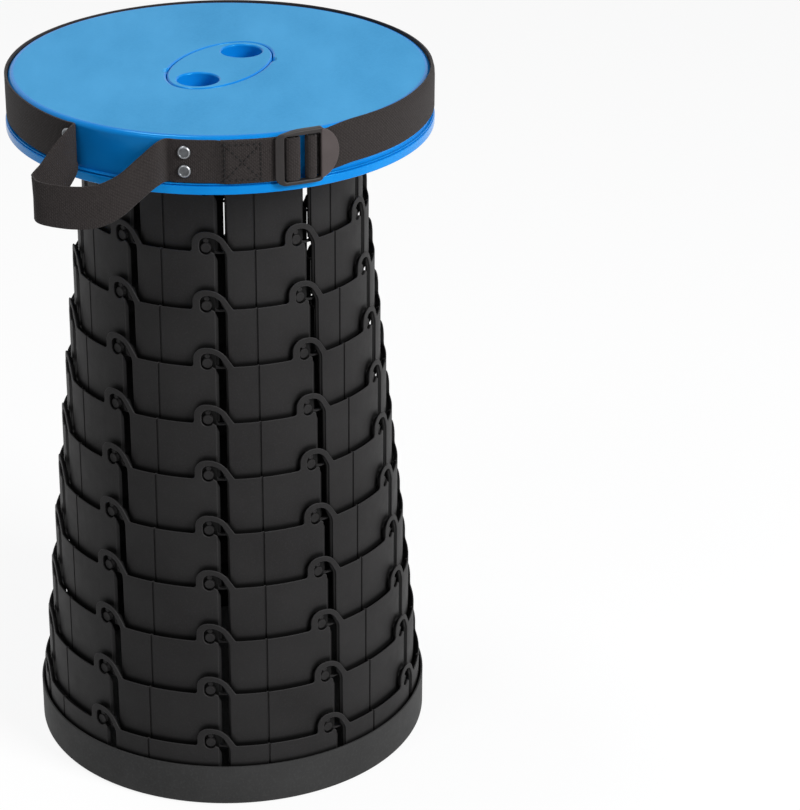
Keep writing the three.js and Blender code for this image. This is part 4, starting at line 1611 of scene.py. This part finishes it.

# %% [markdown]
# ## The rivets
#
# Two pairs of nickelled rivets fix the strap. Each head is a low dome with a flat, slightly sunk
# middle and a rim painted bright, partly as rubbed nickel and partly as a painted highlight. It is
# turned once, and a small tree copies it to four points. The tree finds the angle of each point
# round the axis, so that every head faces squarely outwards.

# %% Turn a rivet head
nickel, tree, shader = new_finish("Worn nickel, rim painted bright", 0.5, 1.0)
dull_grey = tinted(
    tree, patches(tree, 420, 4, 0.15), (0.125, 0.132, 0.14), (0.083, 0.087, 0.092)
)
# the rim is painted bright: rubbed nickel and a painted highlight
nickel_grey = tinted(tree, value_on(tree, "wear"), dull_grey, (0.3, 0.31, 0.325))
roughness = graded(tree, noise(tree, 420, 4), 0.26, 0.42)
cover(tree, shader, nickel_grey, roughness, bumped(tree, noise(tree, 900, 2), 0.2, 0.00006))

# steps of the head: radius, depth, rubbed rim and painted highlight
head_steps = [(0, 4.5, 0), (2.7, 4.5, 0), (2.7, 3.8, 0), (1.4, 3.7, 0), (1.4, 0.1, 0)]
head_steps += [(3.85, 0.1, 0), (3.9, -0.3, 0.3), (3.7, -0.9, 0.8), (3.3, -1.35, 1)]
head_steps += [(2.9, -1.5, 0.8), (2.65, -1.42, 0.3), (2.5, -1.25, 0), (0, -1.2, 0)]
head_loops = stud([step[:2] for step in head_steps], 32)
head_wear_and_highlight = [step[2] for step, loop in zip(head_steps, head_loops) for _ in loop]
rivet_pattern = new_piece("Rivet pattern", *skin(head_loops), {"wear": head_wear_and_highlight})
print("a rivet head has", len(rivet_pattern.data.polygons), "faces")

# %% Set the rivets
rivet_angles, rivet_spread, rivet_radius = (-38.8, -5.6), 5.4, 125
rivet_tree, given = new_tree("Rivets", {"Rivet": "Object", "Material": "Material"})
spot = spot_of(rivet_tree)
facing = sum_up(rivet_tree, "ARCTAN2", spot["X"], sum_up(rivet_tree, "MULTIPLY", spot["Y"], -1.0))
head = shape_of(rivet_tree, given["Rivet"])
heads = copied(rivet_tree, given["Geometry"], head, combined(rivet_tree, Z=facing))
close_tree(rivet_tree, heads, given["Material"])

places = [
    Vector(around(math.radians(angle), rivet_radius, strap_middle + side * rivet_spread)) * MM
    for angle in rivet_angles
    for side in (1, -1)
]
rivet_spots = bpy.data.meshes.new("Rivet places")
rivet_spots.from_pydata(places, [], [])
rivets = grow("rivet_heads", rivet_tree, rivet_spots, {"Rivet": rivet_pattern, "Material": nickel})
bpy.data.objects.remove(rivet_pattern)
finish(rivets, nickel)
rivet_nodes = [f"rivet_{side}_{row}" for side in ("left", "right") for row in ("upper", "lower")]
carry(rivets, "seat", "rivet_steel", *rivet_nodes)

# %% [markdown]
# ## Measure
#
# The finished stool is meant to fill the same box as the imported model. Both boxes are printed,
# so that they can be compared.

# %% Print the boxes and finish
visual_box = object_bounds()
boxes = {"cad": [list(c) for c in cad_box], "visual": [list(c) for c in visual_box]}
print("boxes:", [[round(v / MM, 1) for corner in box for v in corner] for box in boxes.values()])
